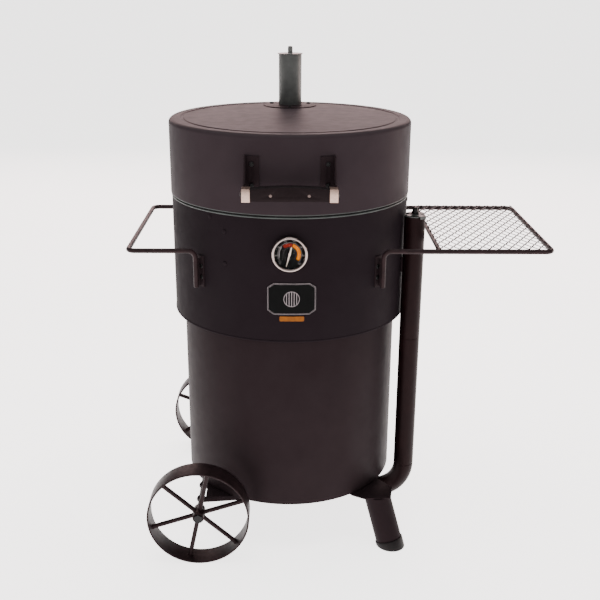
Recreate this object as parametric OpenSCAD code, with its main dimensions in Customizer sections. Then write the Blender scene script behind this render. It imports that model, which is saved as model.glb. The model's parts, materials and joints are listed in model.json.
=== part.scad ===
// Vertical drum smoker: a charcoal drum on two wheels and two legs, with a
// wider cooking chamber, a lift-off lid with a stack, an air pipe with a
// daisy-wheel damper, a hand rail and a mesh side shelf.
// Millimetres, +Z up. The origin is on the ground, under the middle of the
// whole outline. The drum's own axis stands at x = axis_x, y = axis_y.

/* [Drum and chamber] */
// Outer radius of the lower drum
drum_r = 234; // [225:1:238]
// Outer radius of the wider cooking chamber
belly_r = 254; // [250:1:256]
// Outer radius of the lid
lid_r = 256; // [253:1:260]
// Sheet thickness of drum, chamber and lid
sheet = 2; // [1.5:0.5:3]
// Height of the drum's bottom edge above the ground
drum_z = 115.5; // [110:0.5:125]
// Height of the step between drum and chamber
ledge_z = 501; // [480:1:520]
// Height of the chamber's rim
rim_z = 759; // [740:1:770]
// Height of the lid's lower edge
lid_z = 762; // [761:1:775]
// Height of the lid's flat top
lid_top = 916.5; // [900:0.5:930]
// Radius of the lid's rounded top edge
lid_round = 9; // [5:1:15]

/* [Stack] */
// Distance of the stack behind the drum's axis
stack_y = 182; // [160:1:185]
// Outer radius of the stack tube
stack_r = 26; // [22:1:30]
// Height of the top of the stack tube
stack_top = 1030.5; // [1000:0.5:1060]
// Radius of the stack's base flange
stack_flange_r = 61; // [55:1:62]
// How far the cap screws up off the tube
cap_travel = 20; // [10:1:25]

/* [Air pipe] */
// Outer radius of the air pipe
pipe_r = 22; // [18:0.5:22.5]
// Wall of the air pipe and of the stack
pipe_wall = 1.5; // [1:0.25:2.5]
// Direction of the pipe from the drum's axis
pipe_azimuth = -19; // [-24:1:-16]
// Distance of the upright pipe from the drum's axis
pipe_axis_r = 278; // [278:1:282]
// Height of the top of the pipe
pipe_top = 723.5; // [700:0.5:730]
// Height of the joint between the two straight lengths
pipe_joint_z = 452; // [400:1:500]
// Centre-line radius of the lower elbow
elbow_r = 78; // [70:1:85]
// Height of the level run under the drum
run_z = 64; // [60:1:68]
// Distance from the drum's axis at which the air comes in through the floor
inlet_r = 90; // [60:1:120]

/* [Wheels and axle] */
// Outer radius of a wheel, which is the height of the axle
wheel_r = 108.6; // [100:0.1:110]
// Width of a wheel's flat band
band_w = 48.6; // [40:0.1:52]
// Thickness of the band
band_t = 3.6; // [3:0.1:5]
// Distance from the drum's axis to the axle
axle_x = 193; // [188:1:200]
// Overall width over both wheels
track = 564; // [556:1:580]
// Radius of the axle
axle_r = 6; // [5:0.5:6]
// Radius of a spoke
spoke_r = 4.75; // [4:0.25:6]
// Number of spokes
spokes = 6; // [5:1:8]
// Turn of the front wheel's first spoke from the upright
spoke_turn = 12; // [-30:1:30]
// Turn of the rear wheel's first spoke from the upright
rear_spoke_turn = -9; // [-30:1:30]

/* [Legs] */
// Direction of a leg from the drum's axis
leg_azimuth = 42.8; // [40:0.1:46]
// Distance of a leg's top from the drum's axis
leg_top_r = 264; // [258:1:268]
// Distance of a leg's foot from the drum's axis
leg_foot_r = 308; // [300:1:315]
// Outer radius of a leg
leg_r = 28.5; // [24:0.5:29]

/* [Rails and shelf] */
// Radius of the bent rod
rod_r = 5; // [4:0.5:6]
// Height of the rods' centre lines
rail_z = 673.5; // [660:0.5:680]
// Half the distance between the two arms of each rail
rail_y = 190; // [186:1:194]
// Distance from the drum's axis to the hand rail's far side
left_reach = 331; // [320:1:345]
// Distance from the drum's axis to the shelf's far side
right_reach = 537; // [520:1:545]
// Distance from the drum's axis to the shelf's inner bar
shelf_inner = 303; // [300:1:315]
// Centre-line radius of the rod's bends
bend_r = 15; // [12:1:20]
// Width of one diamond of the shelf's mesh, side to side
mesh_pitch_x = 20; // [14:0.5:30]
// Length of one diamond of the shelf's mesh, front to back
mesh_pitch_y = 35.5; // [20:0.5:40]

/* [Handle] */
// Half the width over the two handle brackets
handle_half = 87; // [80:1:92]
// Distance from the lid's axis to the front of the grip
grip_front = 318; // [310:1:325]
// Height of the middle of the grip
grip_z = 815; // [805:1:825]

/* [Thermometer] */
// Height of the middle of the dial
gauge_z = 688; // [670:1:700]
// Radius of the bezel
bezel_r = 35.5; // [30:0.5:40]

/* [Cooking grate and basket] */
// Radius of the cooking grate
grate_r = 241.5; // [236:0.5:246]
// Spacing of the grate's rods
grate_pitch = 20; // [16:1:30]
// Radius of the charcoal basket
basket_r = 165; // [140:1:175]
// Height of the charcoal basket's wall
basket_h = 130; // [100:1:150]

/* [Hidden] */
$fn = 96;

black = [0.13, 0.12, 0.12];
charcoal = [0.22, 0.2, 0.2];
steel = [0.72, 0.7, 0.66];
axis_x = (left_reach - right_reach) / 2;
axis_y = (grip_front - track / 2) / 2;
eps = 0.01;

// Stack: the cap hangs from a stud in a cross bar inside the tube
stud_r = 4;
stud_top = stack_top + 18;
bridge_z = stack_top - 34;
stack_bolt_r = 49;

// Pipe: the lower elbow turns under the drum, the riser comes up in its floor
bend_z = run_z + elbow_r;
riser_r = 40;
floor_top = drum_z + sheet;
riser_top = floor_top + 12;

// Damper on top of the pipe
damper_t = 1.5;
damper_z = pipe_top + damper_t;
rotor_gap = 0.3;
petals = 4;
damper_open = -55;
damper_stud = 13;

// Wheels
wheel_y = track / 2 - band_w / 2;
hub_r = 12;
hub_half = 20;
running = 0.05;

// Legs: the tube leans out from the drum
leg_lean = atan((leg_foot_r - leg_top_r) / drum_z);
leg_len = drum_z / cos(leg_lean);
bracket_t = 3;

// Rails
rail_arm_x = 190;
rod_foot_z = rail_z - 77;
plate_t = 3;
rail_screw_z = [617, 640];
rail_plate_az = 45.2;
rail_screw_off = 3;

// Handle
grip_depth = 26;
grip_h = 22.5;
ferrule_w = 15.5;
ferrule_wall = 1.5;
grip_back = 3;
grip_arch = 4;
grip_rivet_x = 35.5;
grip_rivet_r = 3;
grip_rivet_h = 2;
flange_t = 3;
screw_r = 3;
handle_screw_x = 72.5;
handle_screw_z = [820, 861];

// Thermometer, stepped out from the chamber's front
gauge_back = belly_r + 0.5;
gauge_depth = 10;
stem_r = 4;

// Badge plates
badge_t = 1.2;

// Basket and grate
bracket_az = [-120.5, -0.5, 119.5];
bracket_bolt_z = [656.5, 722];
tab_z = 622;
grate_rod = 3;
basket_z = 186;
basket_wall = 1.5;
pan_z = 150;
bail_r = 2.5;
bail_z = basket_z + basket_h + 7;
bail_len = 70;

// Puts a part on the drum's axis
module on_axis() {
    translate([axis_x, axis_y, 0]) children();
}

// A hollow round wall between two heights
module ring(r_out, r_in, z0, z1) {
    translate([0, 0, z0]) difference() {
        cylinder(r = r_out, h = z1 - z0);
        translate([0, 0, -1]) cylinder(r = r_in, h = z1 - z0 + 2);
    }
}

// A straight rod between two points
module rod(a, b, r) {
    d = b - a;
    l = norm(d);
    translate(a) rotate([0, acos(d[2] / l), atan2(d[1], d[0])]) cylinder(r = r, h = l);
}

// A mirrored pair, front and back
module front_and_back() {
    children();
    mirror([0, 1, 0]) children();
}

// A mirrored pair, left and right
module left_and_right() {
    children();
    mirror([1, 0, 0]) children();
}

// ---------- drum and chamber ----------

module lower_drum() {
    color(black) on_axis() ring(drum_r, drum_r - sheet, drum_z, ledge_z);
}

module drum_floor() {
    inlet = [inlet_r * cos(pipe_azimuth), inlet_r * sin(pipe_azimuth), 0];
    color(black) on_axis() difference() {
        translate([0, 0, drum_z]) cylinder(r = drum_r - sheet, h = sheet);
        translate(inlet) translate([0, 0, drum_z - 1]) cylinder(r = pipe_r, h = sheet + 2);
    }
}

// Chamber wall with its inward bottom flange, which carries the grate
module belly_shell() {
    wall_in = belly_r - sheet;
    color(black) on_axis() difference() {
        rotate_extrude() polygon([
            [drum_r - 8, ledge_z], [belly_r + 0.8, ledge_z],
            [belly_r + 0.8, ledge_z + 3], [belly_r, ledge_z + 4],
            [belly_r, rim_z - 4], [wall_in, rim_z - 4],
            [wall_in, ledge_z + sheet], [drum_r - 8, ledge_z + sheet]
        ]);
        translate([0, -belly_r + 8, gauge_z]) rotate([90, 0, 0]) cylinder(r = stem_r, h = 16);
        rail_screw_sites() translate([0, 0, -12]) cylinder(r = screw_r, h = 24);
        bracket_bolt_sites() translate([0, 0, -10]) cylinder(r = screw_r, h = 20);
        rim_rivet_sites() translate([0, 0, -10]) cylinder(r = screw_r, h = 20);
    }
}

// The six bolts of the grate brackets and three rivets under the rim, z outwards
module bracket_bolt_sites() {
    for (a = bracket_az, z = bracket_bolt_z)
        rotate([0, 0, a]) translate([belly_r, 0, z]) rotate([0, 90, 0]) children();
}

module rim_rivet_sites() {
    for (a = bracket_az)
        rotate([0, 0, a - 8]) translate([belly_r, 0, rim_z - 12]) rotate([0, 90, 0]) children();
}

// Straps inside the chamber, each folded inwards at its foot to carry the grate
module grate_brackets() {
    r = belly_r - sheet;
    color(charcoal) on_axis() difference() {
        for (a = bracket_az) rotate([0, 0, a]) union() {
            intersection() {
                ring(r, r - 2, tab_z - 2, tab_z + 116);
                translate([r - 20, -15, tab_z - 3]) cube([40, 30, 130]);
            }
            intersection() {
                translate([r - 22, -15, tab_z - 2]) cube([22, 30, 2]);
                cylinder(r = r - 1, h = lid_z);
            }
        }
        bracket_bolt_sites() translate([0, 0, -10]) cylinder(r = screw_r, h = 20);
    }
}

module bracket_bolts() {
    color(black) on_axis() {
        bracket_bolt_sites() union() {
            translate([0, 0, -8]) cylinder(r = screw_r, h = 8);
            cylinder(r = 4.5, h = 1.6);
            translate([0, 0, -sheet - 6]) cylinder(r = 5, h = 3);
        }
        rim_rivet_sites() union() {
            translate([0, 0, -sheet]) cylinder(r = screw_r, h = sheet);
            cylinder(r = 4.5, h = 1.6);
        }
    }
}

// Rolled bead round the chamber's mouth
module belly_rim() {
    color(charcoal) on_axis() rotate_extrude() union() {
        translate([belly_r - sheet, rim_z - 4]) square([sheet, 2]);
        translate([belly_r - 1, rim_z - 2]) circle(r = 2, $fn = 32);
    }
}

// ---------- thermometer ----------

// A disc or ring standing out from the chamber's front, a to b from its back
module gauge_ring(r_out, a, b, r_in = 0) {
    on_axis() translate([0, -gauge_back, gauge_z]) rotate([90, 0, 0]) difference() {
        translate([0, 0, a]) cylinder(r = r_out, h = b - a);
        if (r_in > 0) translate([0, 0, a - 1]) cylinder(r = r_in, h = b - a + 2);
    }
}

module gauge_case() {
    color(charcoal) difference() {
        gauge_ring(bezel_r - 3, 0, gauge_depth);
        gauge_ring(bezel_r - 5, 2, gauge_depth + 1);
        gauge_ring(stem_r, -1, 3);
    }
}

module gauge_stem() {
    color(steel) gauge_ring(stem_r, -62, 2);
}

// Hexagon nut that clamps the thermometer from inside the chamber
module gauge_nut() {
    inner = gauge_back - belly_r + sheet;
    color(steel) on_axis() translate([0, -gauge_back, gauge_z]) rotate([90, 0, 0]) difference() {
        translate([0, 0, -inner - 8]) cylinder(r = 11, h = 7, $fn = 6);
        translate([0, 0, -inner - 9]) cylinder(r = stem_r, h = 9);
    }
}

module gauge_dial() {
    color([0.05, 0.05, 0.05]) gauge_ring(bezel_r - 5, 6, 7);
}

// Pointer, at rest at the cold end of the scale
module gauge_needle() {
    color("white") on_axis() translate([0, -gauge_back - 7.4, gauge_z]) rotate([90, 0, 0]) union() {
        cylinder(r = 3.2, h = 1);
        rotate([0, 0, -105]) linear_extrude(0.6)
            polygon([[-9, -1.4], [-9, 1.4], [0, 1.7], [27, 0.4], [27, -0.4], [0, -1.7]]);
    }
}

module gauge_glass() {
    color([0.8, 0.85, 0.9, 0.4]) gauge_ring(bezel_r - 5, 9, 10);
}

module gauge_bezel() {
    color(steel) on_axis() translate([0, -gauge_back, gauge_z]) rotate([90, 0, 0]) rotate_extrude() polygon([
        [bezel_r - 3, 4], [bezel_r - 0.6, 4], [bezel_r, 6], [bezel_r, gauge_depth],
        [bezel_r - 1.5, gauge_depth + 2.5], [bezel_r - 4, gauge_depth + 3],
        [bezel_r - 5.5, gauge_depth + 1], [bezel_r - 5.5, gauge_depth], [bezel_r - 3, gauge_depth]
    ]);
}

// ---------- badge ----------

// A sheet wrapped on the chamber's front over a rectangle
module wrapped(x0, x1, z0, z1, r_in, r_out) {
    on_axis() intersection() {
        ring(r_out, r_in, z0, z1);
        translate([x0, -r_out - 1, z0]) cube([x1 - x0, r_out, z1 - z0]);
    }
}

module name_badge() {
    color(black) wrapped(-45, 53, 560, 627, belly_r, belly_r + badge_t);
}

module badge_tag() {
    color([0.75, 0.5, 0.2]) wrapped(-20, 29, 547, 557, belly_r, belly_r + badge_t);
}

// ---------- rails and shelf ----------

// A quarter bend of rod about centre c, in the plane given by the turn
module bend(c, turn) {
    translate(c) rotate(turn) rotate_extrude(angle = 90) translate([bend_r, 0]) circle(r = rod_r, $fn = 32);
}

// A rod that comes off the chamber at the front, runs round and goes back on
// behind it, with both ends bent down. It lies on the +X side.
module rod_loop(reach) {
    far = reach - rod_r;
    union() {
        front_and_back() {
            rod([rail_arm_x, rail_y, rod_foot_z], [rail_arm_x, rail_y, rail_z - bend_r], rod_r);
            bend([rail_arm_x + bend_r, rail_y, rail_z - bend_r], [90, 0, 180]);
            rod([rail_arm_x + bend_r, rail_y, rail_z], [far - bend_r, rail_y, rail_z], rod_r);
            bend([far - bend_r, rail_y - bend_r, rail_z], [0, 0, 0]);
        }
        rod([far, bend_r - rail_y, rail_z], [far, rail_y - bend_r, rail_z], rod_r);
    }
}

module left_rail() {
    color(charcoal) on_axis() mirror([1, 0, 0]) rod_loop(left_reach);
}

module shelf_frame() {
    color(charcoal) on_axis() rod_loop(right_reach);
}

module shelf_cross_bar() {
    color(charcoal) on_axis() difference() {
        rod([shelf_inner, -rail_y, rail_z], [shelf_inner, rail_y, rail_z], rod_r - 0.5);
        front_and_back() rod([shelf_inner - 20, rail_y, rail_z], [shelf_inner + 20, rail_y, rail_z], rod_r);
    }
}

// Diamond mesh lying on the frame
module shelf_mesh() {
    x0 = shelf_inner;
    x1 = right_reach - rod_r;
    border = 8;
    cols = floor((x1 - x0 - border) / mesh_pitch_x);
    rows = floor((2 * rail_y - border) / mesh_pitch_y);
    strand = 2.4;
    half = [mesh_pitch_x / 2, mesh_pitch_y / 2];
    opening = half * (1 - strand / 2 * norm(half) / (half[0] * half[1]));
    color(charcoal) on_axis() translate([0, 0, rail_z + rod_r]) linear_extrude(1.6) difference() {
        translate([x0, -rail_y]) square([x1 - x0, 2 * rail_y]);
        for (set = [1, 2], i = [0 : cols - set], j = [0 : rows - set])
            translate([
                (x0 + x1) / 2 + (i - (cols - set) / 2) * mesh_pitch_x,
                (j - (rows - set) / 2) * mesh_pitch_y
            ]) polygon([[-opening[0], 0], [0, -opening[1]], [opening[0], 0], [0, opening[1]]]);
    }
}

// The four places where a plate is fixed to the chamber, x outwards
module rail_plate_sites() {
    for (side = [0, 1], s = [0, 1]) mirror([side, 0, 0]) mirror([0, s, 0])
        rotate([0, 0, rail_plate_az]) translate([belly_r, 0, 0]) children();
}

// Two screws in each plate, z outwards
module rail_screw_sites() {
    rail_plate_sites() for (z = rail_screw_z) translate([0, rail_screw_off, z]) rotate([0, 90, 0]) children();
}

// Feet on the chamber, each with a web that stands out to the rod's end
module rail_plates() {
    color(black) on_axis() difference() {
        rail_plate_sites() union() {
            translate([0, -9, rod_foot_z]) cube([plate_t, 18, 65]);
            translate([plate_t - 0.5, -5.5, rod_foot_z + 1]) cube([11, 3, 58]);
        }
        rail_screw_sites() translate([0, 0, -12]) cylinder(r = screw_r, h = 24);
        left_and_right() front_and_back() translate([rail_arm_x, rail_y, rod_foot_z - 5])
            cylinder(r = rod_r, h = 80);
    }
}

module rail_screws() {
    color(charcoal) on_axis() rail_screw_sites() union() {
        translate([0, 0, -8]) cylinder(r = screw_r, h = 8 + plate_t);
        translate([0, 0, plate_t]) cylinder(r = 4.5, h = 2);
        translate([0, 0, -sheet - 4]) cylinder(r = 5, h = 3);
    }
}

// ---------- air pipe and damper ----------

// Puts a part in the pipe's own upright plane, x outwards from the axis
module on_pipe() {
    on_axis() rotate([0, 0, pipe_azimuth]) children();
}

// A quarter bend of pipe about a centre in the upright plane
module pipe_bend(x, z, r, turn) {
    translate([x, 0, z]) rotate([90, turn, 0]) rotate_extrude(angle = 90) translate([r, 0]) difference() {
        circle(r = pipe_r);
        circle(r = pipe_r - pipe_wall);
    }
}

module intake_pipe_upper() {
    color(black) on_pipe() translate([pipe_axis_r, 0, 0])
        ring(pipe_r, pipe_r - pipe_wall, pipe_joint_z, pipe_top);
}

module pipe_sleeve() {
    color(charcoal) on_pipe() translate([pipe_axis_r, 0, 0])
        ring(pipe_r - pipe_wall, pipe_r - 2 * pipe_wall, pipe_joint_z - 25, pipe_joint_z + 25);
}

module intake_pipe_lower() {
    color(black) on_pipe() translate([pipe_axis_r, 0, 0])
        ring(pipe_r, pipe_r - pipe_wall, bend_z, pipe_joint_z);
}

module intake_elbow() {
    color(black) on_pipe() pipe_bend(pipe_axis_r - elbow_r, bend_z, elbow_r, 90);
}

module intake_run() {
    color(black) on_pipe() translate([inlet_r + riser_r, 0, run_z]) rotate([0, 90, 0])
        ring(pipe_r, pipe_r - pipe_wall, 0, pipe_axis_r - elbow_r - inlet_r - riser_r);
}

// Elbow and stub that bring the air up through the floor, above the ash
module intake_riser() {
    color(black) on_pipe() union() {
        pipe_bend(inlet_r + riser_r, run_z + riser_r, riser_r, 180);
        translate([inlet_r, 0, 0]) ring(pipe_r, pipe_r - pipe_wall, run_z + riser_r, riser_top);
    }
}

// Spacer between pipe and chamber
module pipe_standoff() {
    color(black) on_pipe() difference() {
        translate([belly_r - 4, -9, 600]) cube([9, 18, 30]);
        translate([0, 0, 590]) cylinder(r = belly_r, h = 50, $fn = 720);
        translate([pipe_axis_r, 0, 590]) cylinder(r = pipe_r, h = 50);
    }
}

// One opening of the damper, a sector between two radii
module damper_sector(r_in, r_out, span) {
    intersection() {
        difference() {
            circle(r = r_out);
            circle(r = r_in);
        }
        polygon([[0, 0], [40, -40 * tan(span / 2)], [40, 40 * tan(span / 2)]]);
    }
}

// Fixed plate on the pipe's mouth, with the stud that the petals turn on
module damper_plate() {
    color(charcoal) on_pipe() translate([pipe_axis_r, 0, pipe_top]) union() {
        linear_extrude(damper_t) difference() {
            circle(r = pipe_r);
            for (i = [0 : petals - 1]) rotate(i * 360 / petals) damper_sector(8, pipe_r - 3.5, 38);
        }
        cylinder(r = 3, h = damper_stud);
        translate([0, 0, -4]) cylinder(r = 6, h = 4.5, $fn = 6);
    }
}

// Turning petals with a tab that is bent down over the pipe's edge
module damper_rotor() {
    color(charcoal) on_pipe() translate([pipe_axis_r, 0, damper_z + rotor_gap])
        rotate([0, 0, damper_open - pipe_azimuth]) union() {
            linear_extrude(damper_t) difference() {
                union() {
                    circle(r = 9);
                    for (i = [0 : petals - 1]) rotate(i * 360 / petals)
                        damper_sector(8, pipe_r - 0.5, 46);
                    translate([8, -8]) square([18, 16]);
                }
                circle(r = 3 + running);
            }
            translate([24.5, -8, -5]) cube([damper_t, 16, 5 + eps]);
        }
}

module damper_nut() {
    nut_z = damper_z + rotor_gap + damper_t + 0.4;
    color(black) on_pipe() translate([pipe_axis_r, 0, nut_z]) difference() {
        union() {
            cylinder(r = 8.5, h = 1.5);
            translate([0, 0, 1.5]) cylinder(r = 8, h = 5, $fn = 6);
            translate([0, 0, 6.5]) cylinder(r = 5.5, h = 2.7);
            translate([0, 0, 9.2]) sphere(r = 5.5, $fn = 32);
        }
        translate([0, 0, -1]) cylinder(r = 3, h = pipe_top + damper_stud - nut_z + 1);
    }
}

// ---------- legs ----------

// Puts a part on the front leg's own leaning axis, z down the leg
module on_leg() {
    rotate([0, 0, -leg_azimuth]) translate([leg_top_r, 0, drum_z]) rotate([0, 180 - leg_lean, 0]) children();
}

// The space between two heights
module slab(z0, z1) {
    translate([-500, -500, z0]) cube([1000, 1000, z1 - z0]);
}

module leg_tube() {
    intersection() {
        on_leg() translate([0, 0, -30]) ring(leg_r, leg_r - sheet, 0, leg_len + 60);
        slab(sheet, drum_z - bracket_t);
    }
}

// Cup that closes a leg's foot, cut level with the ground
module foot_cap() {
    intersection() {
        on_leg() difference() {
            translate([0, 0, leg_len - 14]) cylinder(r = leg_r + 2, h = 60);
            translate([0, 0, leg_len - 60]) cylinder(r = leg_r, h = 200);
        }
        slab(0, 30);
    }
    intersection() {
        on_leg() translate([0, 0, leg_len - 30]) cylinder(r = leg_r, h = 80);
        slab(0, sheet);
    }
}

module front_leg() {
    color(black) on_axis() leg_tube();
}

module rear_leg() {
    color(black) on_axis() mirror([0, 1, 0]) leg_tube();
}

module foot_caps() {
    color(charcoal) on_axis() front_and_back() foot_cap();
}

// Gusset plates under the drum's edge, one over each leg
module leg_brackets() {
    color(black) on_axis() front_and_back() translate([0, 0, drum_z - bracket_t]) linear_extrude(bracket_t)
        polygon([[110, -150], [139, -193], [165, -208], [224, -205], [231, -162], [203, -122], [160, -100]]);
}

// ---------- axle and wheels ----------

// Folded brackets: a plate under the drum with two ears for the axle
module axle_brackets() {
    plate = 2.5;
    color(black) on_axis() front_and_back() union() {
        translate([10 - axle_x, -200, drum_z - plate]) cube([axle_x - 110, 60, plate]);
        for (y = [-200, -140 - plate]) translate([0, y + plate, 0])
            rotate([90, 0, 0]) linear_extrude(plate) difference() {
            union() {
                translate([-axle_x, wheel_r]) circle(r = 10);
                polygon([
                    [-axle_x - 4, wheel_r - 9.15], [-100, drum_z - 9], [-100, drum_z - plate],
                    [10 - axle_x, drum_z - plate], [6 - axle_x, wheel_r + 8]
                ]);
            }
            translate([-axle_x, wheel_r]) circle(r = axle_r);
        }
    }
}

module axle() {
    color(charcoal) on_axis() translate([-axle_x, track / 2 - 2, wheel_r]) rotate([90, 0, 0])
        cylinder(r = axle_r, h = track - 4);
}

// Collars on the axle, one inside each wheel and a domed nut outside it
module axle_nuts() {
    color(charcoal) on_axis() front_and_back() translate([-axle_x, 0, wheel_r]) rotate([90, 0, 0]) {
        translate([0, 0, wheel_y - hub_half - 4.4]) ring(10, axle_r, 0, 4);
        translate([0, 0, wheel_y + hub_half + 0.4]) difference() {
            cylinder(r = 10.5, h = 3.5, $fn = 6);
            translate([0, 0, -1]) cylinder(r = axle_r, h = track / 2 - 2 - wheel_y - hub_half - 0.4 + 1);
        }
    }
}

// Puts a part on the front wheel, z along the axle towards the front
module on_wheel() {
    translate([-axle_x, -wheel_y, wheel_r]) rotate([90, 0, 0]) children();
}

module wheel_rim() {
    on_wheel() ring(wheel_r, wheel_r - band_t, -band_w / 2, band_w / 2);
}

module wheel_spokes(turn) {
    on_wheel() intersection() {
        difference() {
            for (i = [0 : spokes - 1]) rotate([0, 0, 90 - turn + i * 360 / spokes])
                rotate([0, 90, 0]) cylinder(r = spoke_r, h = wheel_r);
            translate([0, 0, -hub_half]) cylinder(r = hub_r, h = 2 * hub_half);
        }
        translate([0, 0, -hub_half]) cylinder(r = wheel_r - band_t, h = 2 * hub_half);
    }
}

module wheel_hub() {
    on_wheel() ring(hub_r, axle_r + running, -hub_half, hub_half);
}

module front_wheel_rim() {
    color(charcoal) on_axis() wheel_rim();
}

module front_wheel_spokes() {
    color(charcoal) on_axis() wheel_spokes(spoke_turn);
}

module front_wheel_hub() {
    color(charcoal) on_axis() wheel_hub();
}

module rear_wheel_rim() {
    color(charcoal) on_axis() mirror([0, 1, 0]) wheel_rim();
}

module rear_wheel_spokes() {
    color(charcoal) on_axis() mirror([0, 1, 0]) wheel_spokes(rear_spoke_turn);
}

module rear_wheel_hub() {
    color(charcoal) on_axis() mirror([0, 1, 0]) wheel_hub();
}

// ---------- lid ----------

// Outline of the lid: wall, rounded edge and a flat top with a pressed groove
module lid_profile() {
    groove = 228;
    round_c = lid_r - lid_round;
    difference() {
        union() {
            translate([lid_r - sheet, lid_z]) square([sheet, lid_top - lid_round - lid_z]);
            intersection() {
                translate([round_c, lid_top - lid_round]) difference() {
                    circle(r = lid_round);
                    circle(r = lid_round - sheet);
                }
                translate([round_c, lid_top - lid_round]) square(lid_round + 1);
            }
            translate([0, lid_top - sheet]) square([round_c, sheet]);
            translate([groove - 5, lid_top - 2 * sheet]) square([10, sheet]);
        }
        translate([groove, lid_top + 1.6]) circle(r = 3.6, $fn = 32);
    }
}

module lid_shell() {
    color(black) on_axis() difference() {
        rotate_extrude() lid_profile();
        translate([0, stack_y, lid_top - 10]) cylinder(r = stack_r - pipe_wall, h = 20);
        stack_screw_sites() translate([0, 0, -10]) cylinder(r = 2.5, h = 20);
        handle_screw_sites() translate([0, 0, -8]) cylinder(r = 2.5, h = 16);
    }
}

// Inner band that centres the lid in the chamber's mouth
module lid_lip() {
    color(charcoal) on_axis() union() {
        ring(belly_r - 4, belly_r - 6, rim_z - 18, lid_z + 12);
        ring(lid_r - sheet, belly_r - 4, lid_z + 8, lid_z + 12);
    }
}

// Heat-proof cord packed under the lid's edge
module lid_gasket() {
    color(black) on_axis() ring(belly_r - 0.5, belly_r - 4, rim_z + 0.5, lid_z + 8);
}

// ---------- lid handle ----------

module handle_screw_sites() {
    for (s = [-1, 1], z = handle_screw_z)
        translate([s * handle_screw_x, -sqrt(lid_r * lid_r - handle_screw_x * handle_screw_x), z])
            rotate([90, 0, 0]) children();
}

// One bracket: a foot on the lid and a flange that widens down to the grip
module handle_bracket() {
    foot_x = 58;
    foot_t = 2.4;
    foot_z0 = handle_screw_z[0] - 11;
    foot_z1 = handle_screw_z[1] + 15;
    skin_y = sqrt(lid_r * lid_r - pow(handle_half - flange_t, 2));
    front = grip_front - 6;
    tongue = grip_h / 2 - 2;
    step_y = grip_front - grip_depth - 0.5;
    difference() {
        union() {
            intersection() {
                ring(lid_r + foot_t, lid_r, foot_z0, foot_z1);
                translate([foot_x, -lid_r - 10, foot_z0])
                    cube([handle_half - foot_x, 100, foot_z1 - foot_z0]);
            }
            translate([handle_half, 0, 0]) rotate([90, 0, -90]) linear_extrude(flange_t) polygon([
                [skin_y + 0.3, foot_z1], [skin_y + 9, foot_z1], [skin_y + 17, foot_z1 - 14],
                [step_y, grip_z + tongue + 6], [step_y, grip_z + tongue],
                [front, grip_z + tongue], [front, grip_z - tongue],
                [skin_y + 22, grip_z - tongue], [skin_y + 0.3, foot_z0]
            ]);
        }
        handle_screw_sites() translate([0, 0, -8]) cylinder(r = 2.5, h = 30);
        grip_bolt_hole();
    }
}

// The axis of the bolt through each end of the grip
module grip_bolt_hole() {
    translate([handle_half - 24, -grip_front + grip_depth / 2, grip_z]) rotate([0, 90, 0])
        cylinder(r = screw_r, h = 40);
}

module handle_brackets() {
    color(black) on_axis() left_and_right() handle_bracket();
}

// The grip's two rivets, let into its front by a depth and of a given length
module grip_rivets(depth, length) {
    for (s = [-1, 1]) translate([s * grip_rivet_x, ferrule_wall - grip_front + depth, grip_z])
        rotate([90, 0, 0]) cylinder(r = grip_rivet_r, h = length);
}

// Grip with an arched top, narrowed at both ends to enter the ferrules
module handle_grip() {
    seat = handle_half - flange_t;
    shoulder = handle_half + 2 - ferrule_w;
    arch_r = (shoulder * shoulder + grip_arch * grip_arch) / (2 * grip_arch);
    body_t = grip_depth - grip_back;
    body_y = grip_front - ferrule_wall;
    color(black) on_axis() difference() {
        union() {
            translate([0, body_t - body_y, 0]) rotate([90, 0, 0]) linear_extrude(body_t) intersection() {
                translate([-shoulder, grip_z - grip_h / 2]) square([2 * shoulder, grip_h + grip_arch]);
                translate([0, grip_z + grip_h / 2 + grip_arch - arch_r]) circle(r = arch_r, $fn = 128);
            }
            translate([-seat, -body_y, grip_z - grip_h / 2 + 2.5])
                cube([2 * seat, grip_depth - 4, grip_h - 5]);
        }
        left_and_right() grip_bolt_hole();
        grip_rivets(1, grip_rivet_h + 1);
    }
}

// Steel end pieces, open towards the lid, where bracket and grip meet
module handle_ferrules() {
    outer = handle_half + 2;
    inner = outer - ferrule_w;
    color(steel) on_axis() left_and_right() difference() {
        translate([inner, -grip_front, grip_z - grip_h / 2 - 1]) cube([ferrule_w, grip_depth, grip_h + 2]);
        translate([inner - 1, -grip_front + ferrule_wall, grip_z - grip_h / 2 + 0.5])
            cube([ferrule_w - ferrule_wall + 1, grip_depth, grip_h - 1]);
        grip_bolt_hole();
    }
}

// Grip bolts, grip rivets and the four screws of the brackets
module handle_bolts() {
    bolt_y = grip_depth / 2 - grip_front;
    color(steel) on_axis() left_and_right() union() {
        translate([handle_half - 24, bolt_y, grip_z]) rotate([0, 90, 0]) cylinder(r = screw_r, h = 26);
        translate([handle_half + 2, bolt_y, grip_z]) rotate([0, 90, 0]) cylinder(r = 5, h = 3);
    }
    color(steel) on_axis() grip_rivets(1, grip_rivet_h);
    color(black) on_axis() handle_screw_sites() union() {
        translate([0, 0, -6]) cylinder(r = 2.5, h = 12);
        translate([0, 0, 3.9]) cylinder(r = 4.5, h = 2.6);
    }
}

// ---------- stack ----------

// Puts a part on the stack's own axis
module on_stack() {
    on_axis() translate([0, stack_y, 0]) children();
}

module stack_screw_sites() {
    for (a = [30, 150, 270])
        translate([0, stack_y, lid_top]) rotate([0, 0, a]) translate([stack_bolt_r, 0, 0]) children();
}

module stack_tube() {
    color(charcoal) on_stack() ring(stack_r, stack_r - pipe_wall, lid_top, stack_top);
}

module stack_flange() {
    color(black) on_axis() difference() {
        translate([0, stack_y, 0]) ring(stack_flange_r, stack_r, lid_top, lid_top + 1.5);
        stack_screw_sites() translate([0, 0, -1]) cylinder(r = 2.5, h = 10);
    }
}

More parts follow.
